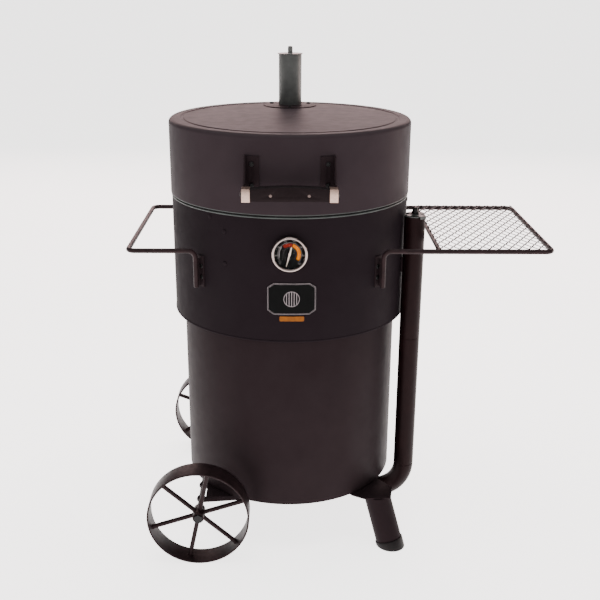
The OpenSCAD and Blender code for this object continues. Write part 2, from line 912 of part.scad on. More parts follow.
module stack_screws() {
    color(black) on_axis() stack_screw_sites() union() {
        translate([0, 0, -6]) cylinder(r = 2.5, h = 8);
        translate([0, 0, 1.5]) cylinder(r = 5, h = 3);
    }
}

// Cross bar inside the tube, threaded for the cap's stud
module stack_bridge() {
    color(charcoal) on_stack() difference() {
        intersection() {
            translate([-stack_r, -6, bridge_z]) cube([2 * stack_r, 12, 8]);
            cylinder(r = stack_r - pipe_wall, h = stack_top);
        }
        cylinder(r = stud_r + running, h = stack_top);
    }
}

// Rain cap with its stud and knob, which screw up and down together
module stack_cap() {
    color(charcoal) on_stack() union() {
        translate([0, 0, stack_top + 0.5]) cylinder(r = stack_r + 3, h = 1.5);
        translate([0, 0, bridge_z - cap_travel - 4])
            cylinder(r = stud_r, h = stack_top + cap_travel + 5 - bridge_z);
        translate([0, 0, stack_top + 2 - eps]) cylinder(r = 5.5, h = stud_top - stack_top - 7);
        translate([0, 0, stud_top - 5.5]) sphere(r = 5.5, $fn = 32);
    }
}

// ---------- inside ----------

// Round cooking grate with two lift handles
module cooking_grate() {
    rows = floor((grate_r - 8) / grate_pitch);
    rim_w = 5;
    wire = grate_rod - 0.5;
    z = tab_z + grate_rod;
    color(charcoal) on_axis() union() {
        ring(grate_r, grate_r - rim_w, tab_z + eps, tab_z + 2 * grate_rod);
        for (i = [-rows : rows])
            let (y = i * grate_pitch, l = sqrt(pow(grate_r - 2, 2) - pow(abs(y) + wire, 2)))
                rod([-l, y, z], [l, y, z], wire);
        for (s = [-1, 1]) {
            rod([s * 110, -3 * grate_pitch, z + 4.2], [s * 110, 3 * grate_pitch, z + 4.2], wire);
            for (y = [-40, 40]) rod([s * 110, y, z + 4], [s * 110, y, z + 34], wire);
            rod([s * 110, -42.5, z + 34], [s * 110, 42.5, z + 34], wire);
        }
    }
}

// Slotted basket with a slatted bottom
module charcoal_basket() {
    slots = 20;
    slat = 9;
    gap = 18;
    color(charcoal) on_axis() difference() {
        union() {
            ring(basket_r, basket_r - basket_wall, basket_z, basket_z + basket_h);
            translate([0, 0, basket_z]) cylinder(r = basket_r - basket_wall, h = 2);
            left_and_right() translate([basket_r - 2, -9, basket_z + basket_h - 16]) cube([2.6, 18, 30]);
        }
        for (i = [0 : slots - 1]) rotate([0, 0, i * 360 / slots + 9])
            translate([basket_r - 10, -6, basket_z + 16]) cube([20, 12, basket_h - 40]);
        for (i = [-7 : 7]) let (y = i * gap, l = sqrt(pow(basket_r - 14, 2) - y * y))
            translate([-l, y - slat / 2, basket_z - 1]) cube([2 * l, slat, 4]);
        translate([-basket_r - 10, 0, bail_z]) rotate([0, 90, 0])
            cylinder(r = bail_r + running, h = 2 * basket_r + 20);
    }
}

// Ash pan under the basket, with the posts that carry both
module ash_pan() {
    color(charcoal) on_axis() union() {
        difference() {
            translate([0, 0, pan_z]) cylinder(r = basket_r - 5, h = 22);
            translate([0, 0, pan_z + 1.5]) cylinder(r = basket_r - 6.5, h = 22);
        }
        for (a = [60, 180, 300]) rotate([0, 0, a]) {
            translate([basket_r - 25, 0, floor_top + 0.5]) cylinder(r = 6, h = pan_z - floor_top);
            translate([basket_r - 25, 0, pan_z + 1]) cylinder(r = 6, h = basket_z - pan_z - 1);
        }
    }
}

// Wire bail on two ears, lying over towards the back of the basket
module basket_bail() {
    reach = basket_r + 5;
    color(steel) on_axis() translate([0, 0, bail_z]) union() {
        left_and_right() {
            rod([basket_r - 7, 0, 0], [reach, 0, 0], bail_r);
            rod([reach, 0, 0], [reach, bail_len, 0], bail_r);
            translate([reach, 0, 0]) sphere(r = bail_r, $fn = 24);
            translate([reach, bail_len, 0]) sphere(r = bail_r, $fn = 24);
        }
        rod([-reach, bail_len, 0], [reach, bail_len, 0], bail_r);
    }
}

lower_drum();
drum_floor();
belly_shell();
belly_rim();
grate_brackets();
bracket_bolts();
gauge_case();
gauge_stem();
gauge_nut();
gauge_dial();
gauge_needle();
gauge_glass();
gauge_bezel();
name_badge();
badge_tag();
left_rail();
shelf_frame();
shelf_cross_bar();
shelf_mesh();
rail_plates();
rail_screws();
intake_pipe_upper();
pipe_sleeve();
intake_pipe_lower();
intake_elbow();
intake_run();
intake_riser();
pipe_standoff();
damper_plate();
damper_rotor();
damper_nut();
front_leg();
rear_leg();
foot_caps();
leg_brackets();
axle_brackets();
axle();
axle_nuts();
front_wheel_rim();
front_wheel_spokes();
front_wheel_hub();
rear_wheel_rim();
rear_wheel_spokes();
rear_wheel_hub();
lid_shell();
lid_lip();
lid_gasket();
handle_brackets();
handle_grip();
handle_ferrules();
handle_bolts();
stack_tube();
stack_flange();
stack_screws();
stack_bridge();
stack_cap();
cooking_grate();
charcoal_basket();
ash_pan();
basket_bail();
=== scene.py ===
import json
import logging
import math
from dataclasses import dataclass, field
from enum import Enum
from typing import Any, Iterable, Sequence

import bmesh
import bpy
from mathutils import Matrix, Vector

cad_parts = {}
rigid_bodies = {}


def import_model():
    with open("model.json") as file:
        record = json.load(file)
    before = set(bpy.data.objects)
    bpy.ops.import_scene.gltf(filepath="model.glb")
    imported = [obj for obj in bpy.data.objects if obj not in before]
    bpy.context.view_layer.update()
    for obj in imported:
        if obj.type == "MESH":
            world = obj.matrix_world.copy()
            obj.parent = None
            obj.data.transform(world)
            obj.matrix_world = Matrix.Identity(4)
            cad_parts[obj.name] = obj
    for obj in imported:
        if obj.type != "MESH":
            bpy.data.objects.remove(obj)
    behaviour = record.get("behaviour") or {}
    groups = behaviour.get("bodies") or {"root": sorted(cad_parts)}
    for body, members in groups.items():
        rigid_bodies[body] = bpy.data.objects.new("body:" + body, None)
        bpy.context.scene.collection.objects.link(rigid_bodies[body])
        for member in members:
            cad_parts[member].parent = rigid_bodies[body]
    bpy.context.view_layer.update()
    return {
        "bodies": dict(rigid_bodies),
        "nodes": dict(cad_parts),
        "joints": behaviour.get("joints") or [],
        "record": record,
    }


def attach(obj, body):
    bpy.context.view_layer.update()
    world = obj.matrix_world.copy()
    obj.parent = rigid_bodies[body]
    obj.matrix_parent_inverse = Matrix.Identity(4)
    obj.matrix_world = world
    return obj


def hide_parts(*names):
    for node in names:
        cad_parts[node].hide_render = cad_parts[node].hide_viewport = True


# A vertical drum smoker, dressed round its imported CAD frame.
# All sizes below are millimetres from the drum's own axis and the ground,
# and become metres in the frame's coordinates when a piece is made.

LOG = logging.getLogger("drum_smoker")
MM = 0.001
AXIS = Vector((-103.0, 18.0, 0.0))
# Angle in degrees past which an edge is a crease, and in metres the gap that joins two points.
CREASE = 32.0
JOIN_GAP = 1e-6
CAD_JOIN_GAP = 2e-6

Point = Sequence[float]
Outline = list[tuple[float, float]]


class Body(Enum):
    """Moving bodies of the frame that a piece can ride on."""

    SMOKER = "smoker"
    NEEDLE = "needle"
    DAMPER = "damper"
    FRONT_WHEEL = "front_wheel"
    REAR_WHEEL = "rear_wheel"
    LID = "lid"
    CAP = "cap"
    GRATE = "grate"
    BASKET = "basket"
    BAIL = "bail"


class Slot(Enum):
    """Material slots of the part's record."""

    BLACK = "black_enamel"
    GREY = "grey_enamel"
    ROD = "rod_enamel"
    PORCELAIN = "porcelain"
    STEEL = "steel"
    ZINC = "zinc"
    DIAL = "dial_face"
    NEEDLE = "needle_white"
    GLASS = "glass"
    BADGE = "badge_black"
    TAG = "tag_orange"
    GASKET = "gasket"
    GRIP = "grip_plastic"
    FOOT = "foot_plastic"


# ---------------------------------------------------------------- finishes


def linear(code: str) -> tuple[float, float, float, float]:
    """Turns an sRGB hex colour into linear values.

    Args:
        code: six hex digits, with or without a leading #.

    Returns:
        Red, green, blue and an alpha of 1.
    """
    digits = code.lstrip("#")
    parts = (int(digits[i:i + 2], 16) / 255 for i in (0, 2, 4))
    red, green, blue = (c / 12.92 if c <= 0.04045 else ((c + 0.055) / 1.055) ** 2.4 for c in parts)
    return red, green, blue, 1.0


def add_node(tree: bpy.types.NodeTree, kind: str, settings: dict[str, Any] | None = None,
             inputs: dict[Any, Any] | None = None) -> bpy.types.Node:
    """Adds a node with its settings, values and links.

    Args:
        tree: the node tree that gets the node.
        kind: the node's type name.
        settings: properties of the node.
        inputs: per socket name or number, a value or the output socket to link from.

    Returns:
        The new node.
    """
    node = tree.nodes.new(kind)
    for key, value in (settings or {}).items():
        setattr(node, key, value)
    for key, value in (inputs or {}).items():
        if isinstance(value, bpy.types.NodeSocket):
            tree.links.new(value, node.inputs[key])
        else:
            node.inputs[key].default_value = value
    return node


def per_mm(size: float) -> float:
    """Texture scale at which one cell of a pattern is this many millimetres wide."""
    return 1.0 / (size * MM)


def blended(tree: bpy.types.NodeTree, share: bpy.types.NodeSocket, first: Any,
            second: Any) -> bpy.types.NodeSocket:
    """Blends two colours.

    Args:
        tree: the material's nodes.
        share: how much of the second colour there is.
        first: the first colour, or the socket that gives it.
        second: the second one.

    Returns:
        The blended colour.
    """
    first_colour, second_colour, colour = 6, 7, 2
    return add_node(tree, "ShaderNodeMix", {"data_type": "RGBA"}, {
        "Factor": share, first_colour: first, second_colour: second}).outputs[colour]


# Pale tint mixed in where a surface faces upwards: painted highlight for the light that falls on tops.
TOP_LIGHT_TINT = "b9b0ad"


@dataclass(frozen=True)
class Finish:
    """A surface finish: two close shades clouded into each other, and a grain.

    The clouding keeps a large painted sheet from looking like one flat colour, and
    the grain breaks up its gloss at the size of the real surface's texture.
    """

    name: str
    deep: str
    pale: str
    rough: tuple[float, float] = (0.4, 0.5)
    metallic: float = 0.0
    specular: float = 0.5
    sheen: str = "ffffff"
    cloud_mm: float = 45.0
    grain_mm: float = 1.4
    grain_depth_mm: float = 0.03
    wave_mm: float = 120.0
    wave_depth_mm: float = 0.0
    coat: float = 0.0
    coat_rough: float = 0.08
    # Share of pale tint on upward faces, as painted highlight.
    dust: float = 0.0
    stretch: tuple[float, float, float] = (1.0, 1.0, 1.0)

    def material(self) -> bpy.types.Material:
        """Builds the finish once, and gives the same material each time after that."""
        made = bpy.data.materials.get(self.name)
        if made:
            return made
        made = bpy.data.materials.new(self.name)
        made.use_nodes = True
        tree = made.node_tree
        tree.nodes.clear()
        shader = add_node(tree, "ShaderNodeBsdfPrincipled")
        out = add_node(tree, "ShaderNodeOutputMaterial", inputs={"Surface": shader.outputs[0]})
        out.location = (400, 0)
        place = add_node(tree, "ShaderNodeTexCoord").outputs["Object"]
        self.dress(tree, shader, place)
        made.diffuse_color = linear(self.pale)
        return made

    def noise(self, tree: bpy.types.NodeTree, place: bpy.types.NodeSocket, size: float,
              detail: float = 3.0) -> bpy.types.NodeSocket:
        """A noise with blobs of a real size, drawn out along the finish's stretch.

        Args:
            tree: the material's nodes.
            place: the coordinates that it reads.
            size: width of a blob in millimetres.
            detail: how many finer layers it has.

        Returns:
            The noise's strength, about 0.3 to 0.7.
        """
        turned = add_node(tree, "ShaderNodeMapping", inputs={"Vector": place, "Scale": self.stretch})
        made = add_node(tree, "ShaderNodeTexNoise", inputs={
            "Vector": turned.outputs[0], "Scale": per_mm(size), "Detail": detail, "Roughness": 0.55})
        return made.outputs["Fac"]

    def spread(self, tree: bpy.types.NodeTree, strength: bpy.types.NodeSocket, low: float,
               high: float, edge: float = 0.32) -> bpy.types.NodeSocket:
        """Spreads a noise between two values.

        Args:
            tree: the material's nodes.
            strength: the noise.
            low: value at its weakest.
            high: value at its strongest.
            edge: the noise's own lowest strength; its highest is as far from 1.

        Returns:
            The spread value.
        """
        return add_node(tree, "ShaderNodeMapRange", inputs={
            "Value": strength, "From Min": edge, "From Max": 1 - edge,
            "To Min": low, "To Max": high}).outputs[0]

    def shade(self, tree: bpy.types.NodeTree, place: bpy.types.NodeSocket) -> bpy.types.NodeSocket:
        """The clouded colour, lightened where the surface looks upwards as painted highlight.

        Args:
            tree: the material's nodes.
            place: the coordinates that the clouds read.

        Returns:
            The colour.
        """
        cloud = self.spread(tree, self.noise(tree, place, self.cloud_mm, 6.0), 0.0, 1.0)
        mixed = blended(tree, cloud, linear(self.deep), linear(self.pale))
        if not self.dust:
            return mixed
        # Painted highlight: the colour moves towards a pale tint the more the surface faces up.
        facing = add_node(tree, "ShaderNodeSeparateXYZ", inputs={
            0: add_node(tree, "ShaderNodeNewGeometry").outputs["Normal"]}).outputs["Z"]
        top_light_share = add_node(tree, "ShaderNodeMapRange", inputs={
            "Value": facing, "From Min": 0.3, "From Max": 1.0, "To Min": 0.0, "To Max": self.dust})
        return blended(tree, top_light_share.outputs[0], mixed, linear(TOP_LIGHT_TINT))

    def relief(self, tree: bpy.types.NodeTree, place: bpy.types.NodeSocket) -> bpy.types.NodeSocket:
        """The grain, over the slow waves of a large sheet.

        Args:
            tree: the material's nodes.
            place: the coordinates that the relief reads.

        Returns:
            The bent normal.
        """
        grain = add_node(tree, "ShaderNodeBump", inputs={
            "Strength": 1.0, "Distance": self.grain_depth_mm * MM,
            "Height": self.noise(tree, place, self.grain_mm, 2.0)})
        if self.wave_depth_mm:
            waves = add_node(tree, "ShaderNodeBump", inputs={
                "Strength": 1.0, "Distance": self.wave_depth_mm * MM,
                "Height": self.noise(tree, place, self.wave_mm, 1.0)})
            tree.links.new(waves.outputs[0], grain.inputs["Normal"])
        return grain.outputs[0]

    def dress(self, tree: bpy.types.NodeTree, shader: bpy.types.Node,
              place: bpy.types.NodeSocket) -> None:
        """Sets the shader's colour, gloss and relief.

        Args:
            tree: the material's nodes.
            shader: its principled shader.
            place: Object coordinates.
        """
        shader.inputs["Metallic"].default_value = self.metallic
        shader.inputs["Coat Weight"].default_value = self.coat
        shader.inputs["Coat Roughness"].default_value = self.coat_rough
        if not self.metallic:
            shader.inputs["Specular IOR Level"].default_value = self.specular
            shader.inputs["Specular Tint"].default_value = linear(self.sheen)
        gloss = self.spread(tree, self.noise(tree, place, self.cloud_mm / 3, 4.0), *self.rough)
        for key, value in (("Base Color", self.shade(tree, place)), ("Roughness", gloss),
                           ("Normal", self.relief(tree, place))):
            tree.links.new(value, shader.inputs[key])


@dataclass(frozen=True)
class BrushedFinish(Finish):
    """Metal rubbed one way: the stretched noise lays fine light and dark hair lines."""

    hair_mm: float = 0.35

    def shade(self, tree: bpy.types.NodeTree, place: bpy.types.NodeSocket) -> bpy.types.NodeSocket:
        """The metal's colour, streaked along the rubbing."""
        hair = self.spread(tree, self.noise(tree, place, self.hair_mm, 4.0), 0.0, 1.0)
        return blended(tree, hair, linear(self.deep), linear(self.pale))


@dataclass(frozen=True)
class SpangledFinish(Finish):
    """Zinc plating: small crystals, each a slightly other grey."""

    crystal_mm: float = 5.0

    def shade(self, tree: bpy.types.NodeTree, place: bpy.types.NodeSocket) -> bpy.types.NodeSocket:
        """The zinc's colour, one shade for each crystal."""
        cells = add_node(tree, "ShaderNodeTexVoronoi", inputs={
            "Vector": place, "Scale": per_mm(self.crystal_mm)}).outputs["Color"]
        tone = add_node(tree, "ShaderNodeSeparateColor", inputs={0: cells}).outputs[0]
        return blended(tree, tone, linear(self.deep), linear(self.pale))


@dataclass(frozen=True)
class CordFinish(Finish):
    """Woven cord: two waves across each other give its crossing strands."""

    strand_mm: float = 2.2
    strand_depth_mm: float = 0.5

    def relief(self, tree: bpy.types.NodeTree, place: bpy.types.NodeSocket) -> bpy.types.NodeSocket:
        """The strands, as relief."""
        weave = [add_node(tree, "ShaderNodeTexWave", {"bands_direction": way}, {
            "Vector": place, "Scale": per_mm(self.strand_mm) / 6.0, "Distortion": 1.5}).outputs["Fac"]
            for way in ("DIAGONAL", "Z")]
        both = add_node(tree, "ShaderNodeMath", {"operation": "MULTIPLY"}, {0: weave[0], 1: weave[1]})
        return add_node(tree, "ShaderNodeBump", inputs={
            "Distance": self.strand_depth_mm * MM, "Height": both.outputs[0]}).outputs[0]


@dataclass(frozen=True)
class ClearFinish(Finish):
    """A thin clear pane: mostly see-through, with a sharp reflection."""

    veil: float = 0.06
    glass_ior: float = 1.52

    def dress(self, tree: bpy.types.NodeTree, shader: bpy.types.Node,
              place: bpy.types.NodeSocket) -> None:
        """Sets a clear pane with the faint smears that a wiped glass keeps."""
        shader.inputs["IOR"].default_value = self.glass_ior
        shader.inputs["Specular IOR Level"].default_value = self.specular
        shader.inputs["Alpha"].default_value = self.veil
        smear = self.spread(tree, self.noise(tree, place, self.cloud_mm, 4.0), *self.rough)
        tree.links.new(self.shade(tree, place), shader.inputs["Base Color"])
        tree.links.new(smear, shader.inputs["Roughness"])


# Silicone stove paint, sprayed on sheet steel and baked: a satin black with a warm
# cast, fine orange peel and the slow waves of rolled sheet.
STOVE_PAINT = Finish("silicone_stove_paint_black", "1f181a", "221b1d", (0.50, 0.56),
                     specular=0.035, sheen="ecc4cc", cloud_mm=60.0, grain_mm=1.1,
                     grain_depth_mm=0.035, wave_mm=180.0, wave_depth_mm=0.25)
# The same stove paint on the cooking chamber, a darker copy that stands in for the shade on it, and
# duller.
SHADED_CHAMBER_PAINT = Finish("silicone_stove_paint_chamber_painted_shade", "181316", "1a1518", (0.56, 0.64),
                       specular=0.025, sheen="ecc4cc", cloud_mm=60.0, grain_mm=1.1,
                       grain_depth_mm=0.035, wave_mm=180.0, wave_depth_mm=0.25)
# The same paint on the lid, a lighter copy that stands in for the light its top catches: painted
# highlight.
LIT_LID_PAINT = Finish("silicone_stove_paint_lid_painted_highlight", "2a2326", "2d2629", (0.48, 0.54),
                   specular=0.022, sheen="ecc4cc", cloud_mm=70.0, grain_mm=1.1,
                   grain_depth_mm=0.035, wave_mm=190.0, wave_depth_mm=0.25, dust=0.015)
# The air pipe's paint: a thinner coat on tube, a little browner and glossier.
PIPE_PAINT = Finish("silicone_stove_paint_pipe", "090304", "110607", (0.42, 0.52),
                    specular=0.1, sheen="f4d0d0", cloud_mm=35.0, grain_mm=0.9, grain_depth_mm=0.03)
# Grey stove paint on stack, cap and damper: same coat, loaded with aluminium flake.
FLAKE_PAINT = Finish("silicone_stove_paint_grey", "3c3d3c", "4d4e4c", (0.40, 0.52), specular=0.4,
                     cloud_mm=25.0, grain_mm=0.8, grain_depth_mm=0.03)
# Dipped satin paint on bent rod and wheels: thicker, browner, softly glossy.
ROD_PAINT = Finish("dipped_satin_paint_rod", "181112", "24191b", (0.42, 0.54),
                   specular=0.12, sheen="f6dcdc", cloud_mm=20.0, grain_mm=0.9, grain_depth_mm=0.03)
# Porcelain enamel, fused on: glassy black with a slight wave and tiny pits.
PORCELAIN = Finish("porcelain_enamel_black", "0c0c0d", "161617", (0.12, 0.24), specular=0.5,
                   cloud_mm=18.0, grain_mm=2.5, grain_depth_mm=0.04, coat=0.4)
# Stainless steel, brushed along the ferrules and round the bezel.
BRUSHED_STEEL = BrushedFinish("brushed_stainless_steel", "947b70", "b89e92", (0.28, 0.4), 1.0,
                              grain_mm=0.4, grain_depth_mm=0.008, stretch=(0.06, 1.0, 1.0))
# The grip's rivets: plain steel that weather and grease have dulled.
RIVET_STEEL = Finish("dulled_rivet_steel", "5a4d4a", "6d5f5b", (0.45, 0.6), 1.0,
                     cloud_mm=3.0, grain_mm=0.6, grain_depth_mm=0.02)
# The bezel's steel, rubbed on a lathe, so no one direction shows.
TURNED_STEEL = BrushedFinish("turned_stainless_steel", "857874", "aa9d98", (0.2, 0.32), 1.0,
                             grain_mm=0.5, grain_depth_mm=0.005, hair_mm=1.2)
# Bright zinc plating on wire and nuts: small crystals.
ZINC = SpangledFinish("bright_zinc_plating", "7c7a77", "a3a19d", (0.3, 0.45), 1.0,
                      grain_mm=1.2, grain_depth_mm=0.01)
# Dial card, screen printed on aluminium: a dead matt black and three dull inks.
DIAL_BLACK = Finish("printed_dial_black", "030303", "050505", (0.55, 0.65), specular=0.05,
                    cloud_mm=8.0, grain_mm=0.3, grain_depth_mm=0.004)
INK_GREY = Finish("printed_ink_grey", "716c6c", "827d7c", (0.5, 0.6), specular=0.1,
                  cloud_mm=6.0, grain_mm=0.3, grain_depth_mm=0.004)
INK_RED = Finish("printed_ink_red", "701a10", "7c2014", (0.5, 0.6), specular=0.05,
                 cloud_mm=6.0, grain_mm=0.3, grain_depth_mm=0.004)
INK_ORANGE = Finish("printed_ink_orange", "cc6a00", "d87a00", (0.5, 0.6), specular=0.05,
                    cloud_mm=6.0, grain_mm=0.3, grain_depth_mm=0.004)
# White baked enamel on the pointer.
NEEDLE_WHITE = Finish("baked_enamel_white", "e6d3c4", "f0e0d2", (0.3, 0.4), specular=0.3,
                      cloud_mm=5.0, grain_mm=0.4, grain_depth_mm=0.004)
# Flat float glass in front of the dial.
CLEAR_GLASS = ClearFinish("clear_float_glass", "0c0e0f", "121415", (0.02, 0.05), specular=0.12,
                          cloud_mm=20.0)
# Badge plate: smooth black enamel with a printed grey line.
BADGE_BLACK = Finish("gloss_badge_enamel", "030303", "060606", (0.38, 0.46), specular=0.04,
                     cloud_mm=15.0, grain_mm=1.0, grain_depth_mm=0.01)
BADGE_LINE = Finish("printed_badge_line", "7a7073", "8c8285", (0.4, 0.5), specular=0.2,
                    cloud_mm=4.0, grain_mm=0.5, grain_depth_mm=0.005)
# Orange-brown enamel on the small tag.
TAG_ENAMEL = Finish("orange_tag_enamel", "6c3c08", "84490a", (0.4, 0.5), specular=0.1,
                    cloud_mm=8.0, grain_mm=0.6, grain_depth_mm=0.008)
# Woven glass-fibre cord with graphite: matt black, rough strands.
GLASS_CORD = CordFinish("woven_glass_fibre_cord", "0d0c0c", "1c1a19", (0.8, 0.95), specular=0.2,
                        cloud_mm=4.0)
# Phenolic grip, moulded: matt black with the fine grain of the mould.
PHENOLIC = Finish("moulded_phenolic_black", "040303", "080607", (0.45, 0.56),
                  specular=0.14, sheen="f2ced4", cloud_mm=12.0, grain_mm=0.6, grain_depth_mm=0.03)
# Nylon foot caps, moulded: a shade lighter and softer than the paint.
NYLON = Finish("moulded_nylon_black", "0b0707", "130d0e", (0.5, 0.6), specular=0.15,
               cloud_mm=12.0, grain_mm=0.7, grain_depth_mm=0.03)
# Lighter grey stove paint on the mouth's bead and the lid's lower edge: painted highlight for the thin
# light lines along these rounded edges.
RIM_HIGHLIGHT_PAINT = Finish("stove_paint_painted_highlight_bead", "2a2d2c", "3c403e", (0.38, 0.5), specular=0.25,
                   cloud_mm=30.0, grain_mm=0.8, grain_depth_mm=0.02)
# Blackened screws and bolts: thin oxide over steel.
BLACK_OXIDE = Finish("black_oxide_steel", "060505", "0d0b0c", (0.40, 0.5), specular=0.2,
                     cloud_mm=4.0, grain_mm=0.5, grain_depth_mm=0.01)


# ---------------------------------------------------------------- meshes


def turned(axis: str, degrees: float) -> Matrix:
    """A turn about X, Y or Z."""
    return Matrix.Rotation(math.radians(degrees), 4, axis)


def moved(x: float, y: float, z: float) -> Matrix:
    """A shift in millimetres."""
    return Matrix.Translation((x, y, z))


def rounded(points: Sequence[Point], radius: float | Sequence[float], closed: bool = True,
            steps: int = 5) -> list[Vector]:
    """Rounds the corners of a path or an outline, in the plane or in space.

    Args:
        points: its corners.
        radius: one radius, or one for each corner; 0 keeps a corner sharp.
        closed: whether its last corner joins its first.
        steps: pieces in each rounding.

    Returns:
        The points of the rounded path.
    """
    corners = [Vector(p) for p in points]
    count = len(corners)
    radii = list(radius) if isinstance(radius, (list, tuple)) else [radius] * count
    made: list[Vector] = []
    for i, corner in enumerate(corners):
        if radii[i] <= 0 or (not closed and i in (0, count - 1)):
            made.append(corner)
            continue
        back, ahead = corners[i - 1] - corner, corners[(i + 1) % count] - corner
        opening = back.angle(ahead)
        if opening < 0.02 or opening > math.pi - 0.02:
            made.append(corner)
            continue
        reach = min(radii[i] / math.tan(opening / 2), 0.49 * back.length, 0.49 * ahead.length)
        first, last = back.normalized(), ahead.normalized()
        size = reach * math.tan(opening / 2)
        middle = corner + (first + last).normalized() * (size / math.sin(opening / 2))
        start, end = corner + first * reach - middle, corner + last * reach - middle
        swing = math.pi - opening
        for k in range(steps + 1):
            part = k / steps
            made.append(middle + start * (math.sin((1 - part) * swing) / math.sin(swing))
                        + end * (math.sin(part * swing) / math.sin(swing)))
    return made


def circle(radius: float, sides: int, start: float = 0.0) -> Outline:
    """A round outline, anticlockwise from an angle in degrees."""
    return [(radius * math.cos(math.radians(start + 360 * k / sides)),
             radius * math.sin(math.radians(start + 360 * k / sides))) for k in range(sides)]


def flattened(points: Iterable[Point]) -> Outline:
    """The first two coordinates of each point."""
    return [(p[0], p[1]) for p in points]


def box_outline(x0: float, x1: float, y0: float, y1: float) -> Outline:
    """A rectangle, anticlockwise."""
    return [(x0, y0), (x1, y0), (x1, y1), (x0, y1)]


@dataclass
class Shape:
    """Closed shells in millimetres, gathered until they become one piece."""

    points: list[tuple[float, float, float]] = field(default_factory=list)
    faces: list[tuple[int, ...]] = field(default_factory=list)

    def add(self, points: Iterable[Point], faces: Iterable[Sequence[int]],
            at: Matrix | None = None) -> "Shape":
        """Adds points and faces, moved by a matrix.

        Args:
            points: the new points.
            faces: faces between the new points.
            at: where they go.

        Returns:
            The shape itself.
        """
        base = len(self.points)
        place = at or Matrix.Identity(4)
        self.points += [tuple(place @ Vector(p)) for p in points]
        self.faces += [tuple(base + i for i in f) for f in faces]
        return self

    def take(self, mesh: bpy.types.Mesh, at: Matrix | None = None) -> "Shape":
        """Adds a mesh that is in metres, and removes it.

        Args:
            mesh: the mesh.
            at: where it goes, in millimetres.

        Returns:
            The shape itself.
        """
        self.add([v.co / MM for v in mesh.vertices], [tuple(p.vertices) for p in mesh.polygons], at)
        bpy.data.meshes.remove(mesh)
        return self

    def lathe(self, outline: Sequence[Point], at: Matrix | None = None, turns: int = 192,
              edge: float = 0.0) -> "Shape":
        """Turns a closed outline of (radius, height) points about the upright axis.

        Args:
            outline: the outline.
            at: where the turned shape goes.
            turns: steps round the axis.
            edge: radius that its corners are rounded by.

        Returns:
            The shape itself.
        """
        line = flattened(rounded(outline, edge, steps=3) if edge else outline)
        n = len(line)
        points = []
        for j in range(turns):
            c, s = math.cos(2 * math.pi * j / turns), math.sin(2 * math.pi * j / turns)
            points += [(r * c, r * s, z) for r, z in line]
        faces = [(j * n + i, j * n + (i + 1) % n, (j + 1) % turns * n + (i + 1) % n,
                  (j + 1) % turns * n + i) for j in range(turns) for i in range(n)]
        return self.add(points, faces, at)

    def pipe(self, path: Sequence[Point], radius: float, bore: float = 0.0, at: Matrix | None = None,
             sides: int = 24, closed: bool = False, edge: float = 0.5) -> "Shape":
        """Sweeps a round rod, or a tube, along a path.

        Args:
            path: the centre line.
            radius: outer radius.
            bore: inner radius of a tube, or 0.
            at: where it goes.
            sides: sides of the round.
            closed: whether the path is a loop.
            edge: bevel at both ends.

        Returns:
            The shape itself.
        """
        line = [Vector(p) for p in path]
        n = len(line)
        ahead = [(line[(i + 1) % n] - line[i - 1]).normalized() if closed or 0 < i < n - 1
                 else (line[1] - line[0] if i == 0 else line[-1] - line[-2]).normalized()
                 for i in range(n)]
        side = ahead[0].orthogonal().normalized()
        rings: list[tuple[Vector, Vector, Vector, float]] = []
        for i in range(n):
            side = (side - ahead[i] * side.dot(ahead[i])).normalized()
            rings.append((line[i], side.copy(), ahead[i].cross(side), radius))
        if not closed:
            rings[0] = (line[0] + ahead[0] * edge, *rings[0][1:])
            rings[-1] = (line[-1] - ahead[-1] * edge, *rings[-1][1:])
            rings.insert(0, (line[0], *rings[0][1:3], radius - edge))
            rings.append((line[-1], *rings[-1][1:3], radius - edge))
        if bore:
            inner = [(c, a, b, bore) for c, a, b, _ in reversed(rings)]
            rings += inner
        points = [c + (a * math.cos(t) + b * math.sin(t)) * r for c, a, b, r in rings
                  for t in (2 * math.pi * k / sides for k in range(sides))]
        m = len(rings)
        loop = closed or bool(bore)
        faces: list[tuple[int, ...]] = [
            (i * sides + k, i * sides + (k + 1) % sides, (i + 1) % m * sides + (k + 1) % sides,
             (i + 1) % m * sides + k) for i in range(m if loop else m - 1) for k in range(sides)]
        if not loop:
            faces += [tuple(range(sides)), tuple(range((m - 1) * sides, m * sides))]
        return self.add(points, faces, at)

    def slab(self, outline: Sequence[Point], low: float, high: float, at: Matrix | None = None,
             edge: float = 0.3) -> "Shape":
        """Raises a flat outline into a plate with softened edges.

        Args:
            outline: the plate's outline, anticlockwise.
            low: height of its underside.
            high: height of its top.
            at: where it goes.
            edge: bevel of its top and bottom edges.

        Returns:
            The shape itself.
        """
        flat = [Vector((p[0], p[1])) for p in outline]
        n = len(flat)
        inset = []
        for i, p in enumerate(flat):
            back, ahead = (p - flat[i - 1]).normalized(), (flat[(i + 1) % n] - p).normalized()
            normal = Vector((-back.y - ahead.y, back.x + ahead.x))
            if normal.length < 1e-6:
                inset.append(p.copy())
                continue
            normal.normalize()
            lean = max(0.4, normal.dot(Vector((-back.y, back.x))))
            inset.append(p + normal * (edge / lean))
        layers = [(inset, low), (flat, low + edge), (flat, high - edge), (inset, high)]
        points = [(p.x, p.y, z) for ring, z in layers for p in ring]
        faces: list[tuple[int, ...]] = [
            (j * n + i, j * n + (i + 1) % n, (j + 1) * n + (i + 1) % n, (j + 1) * n + i)
            for j in range(3) for i in range(n)]
        faces += [tuple(range(n)), tuple(range(3 * n, 4 * n))]
        return self.add(points, faces, at)

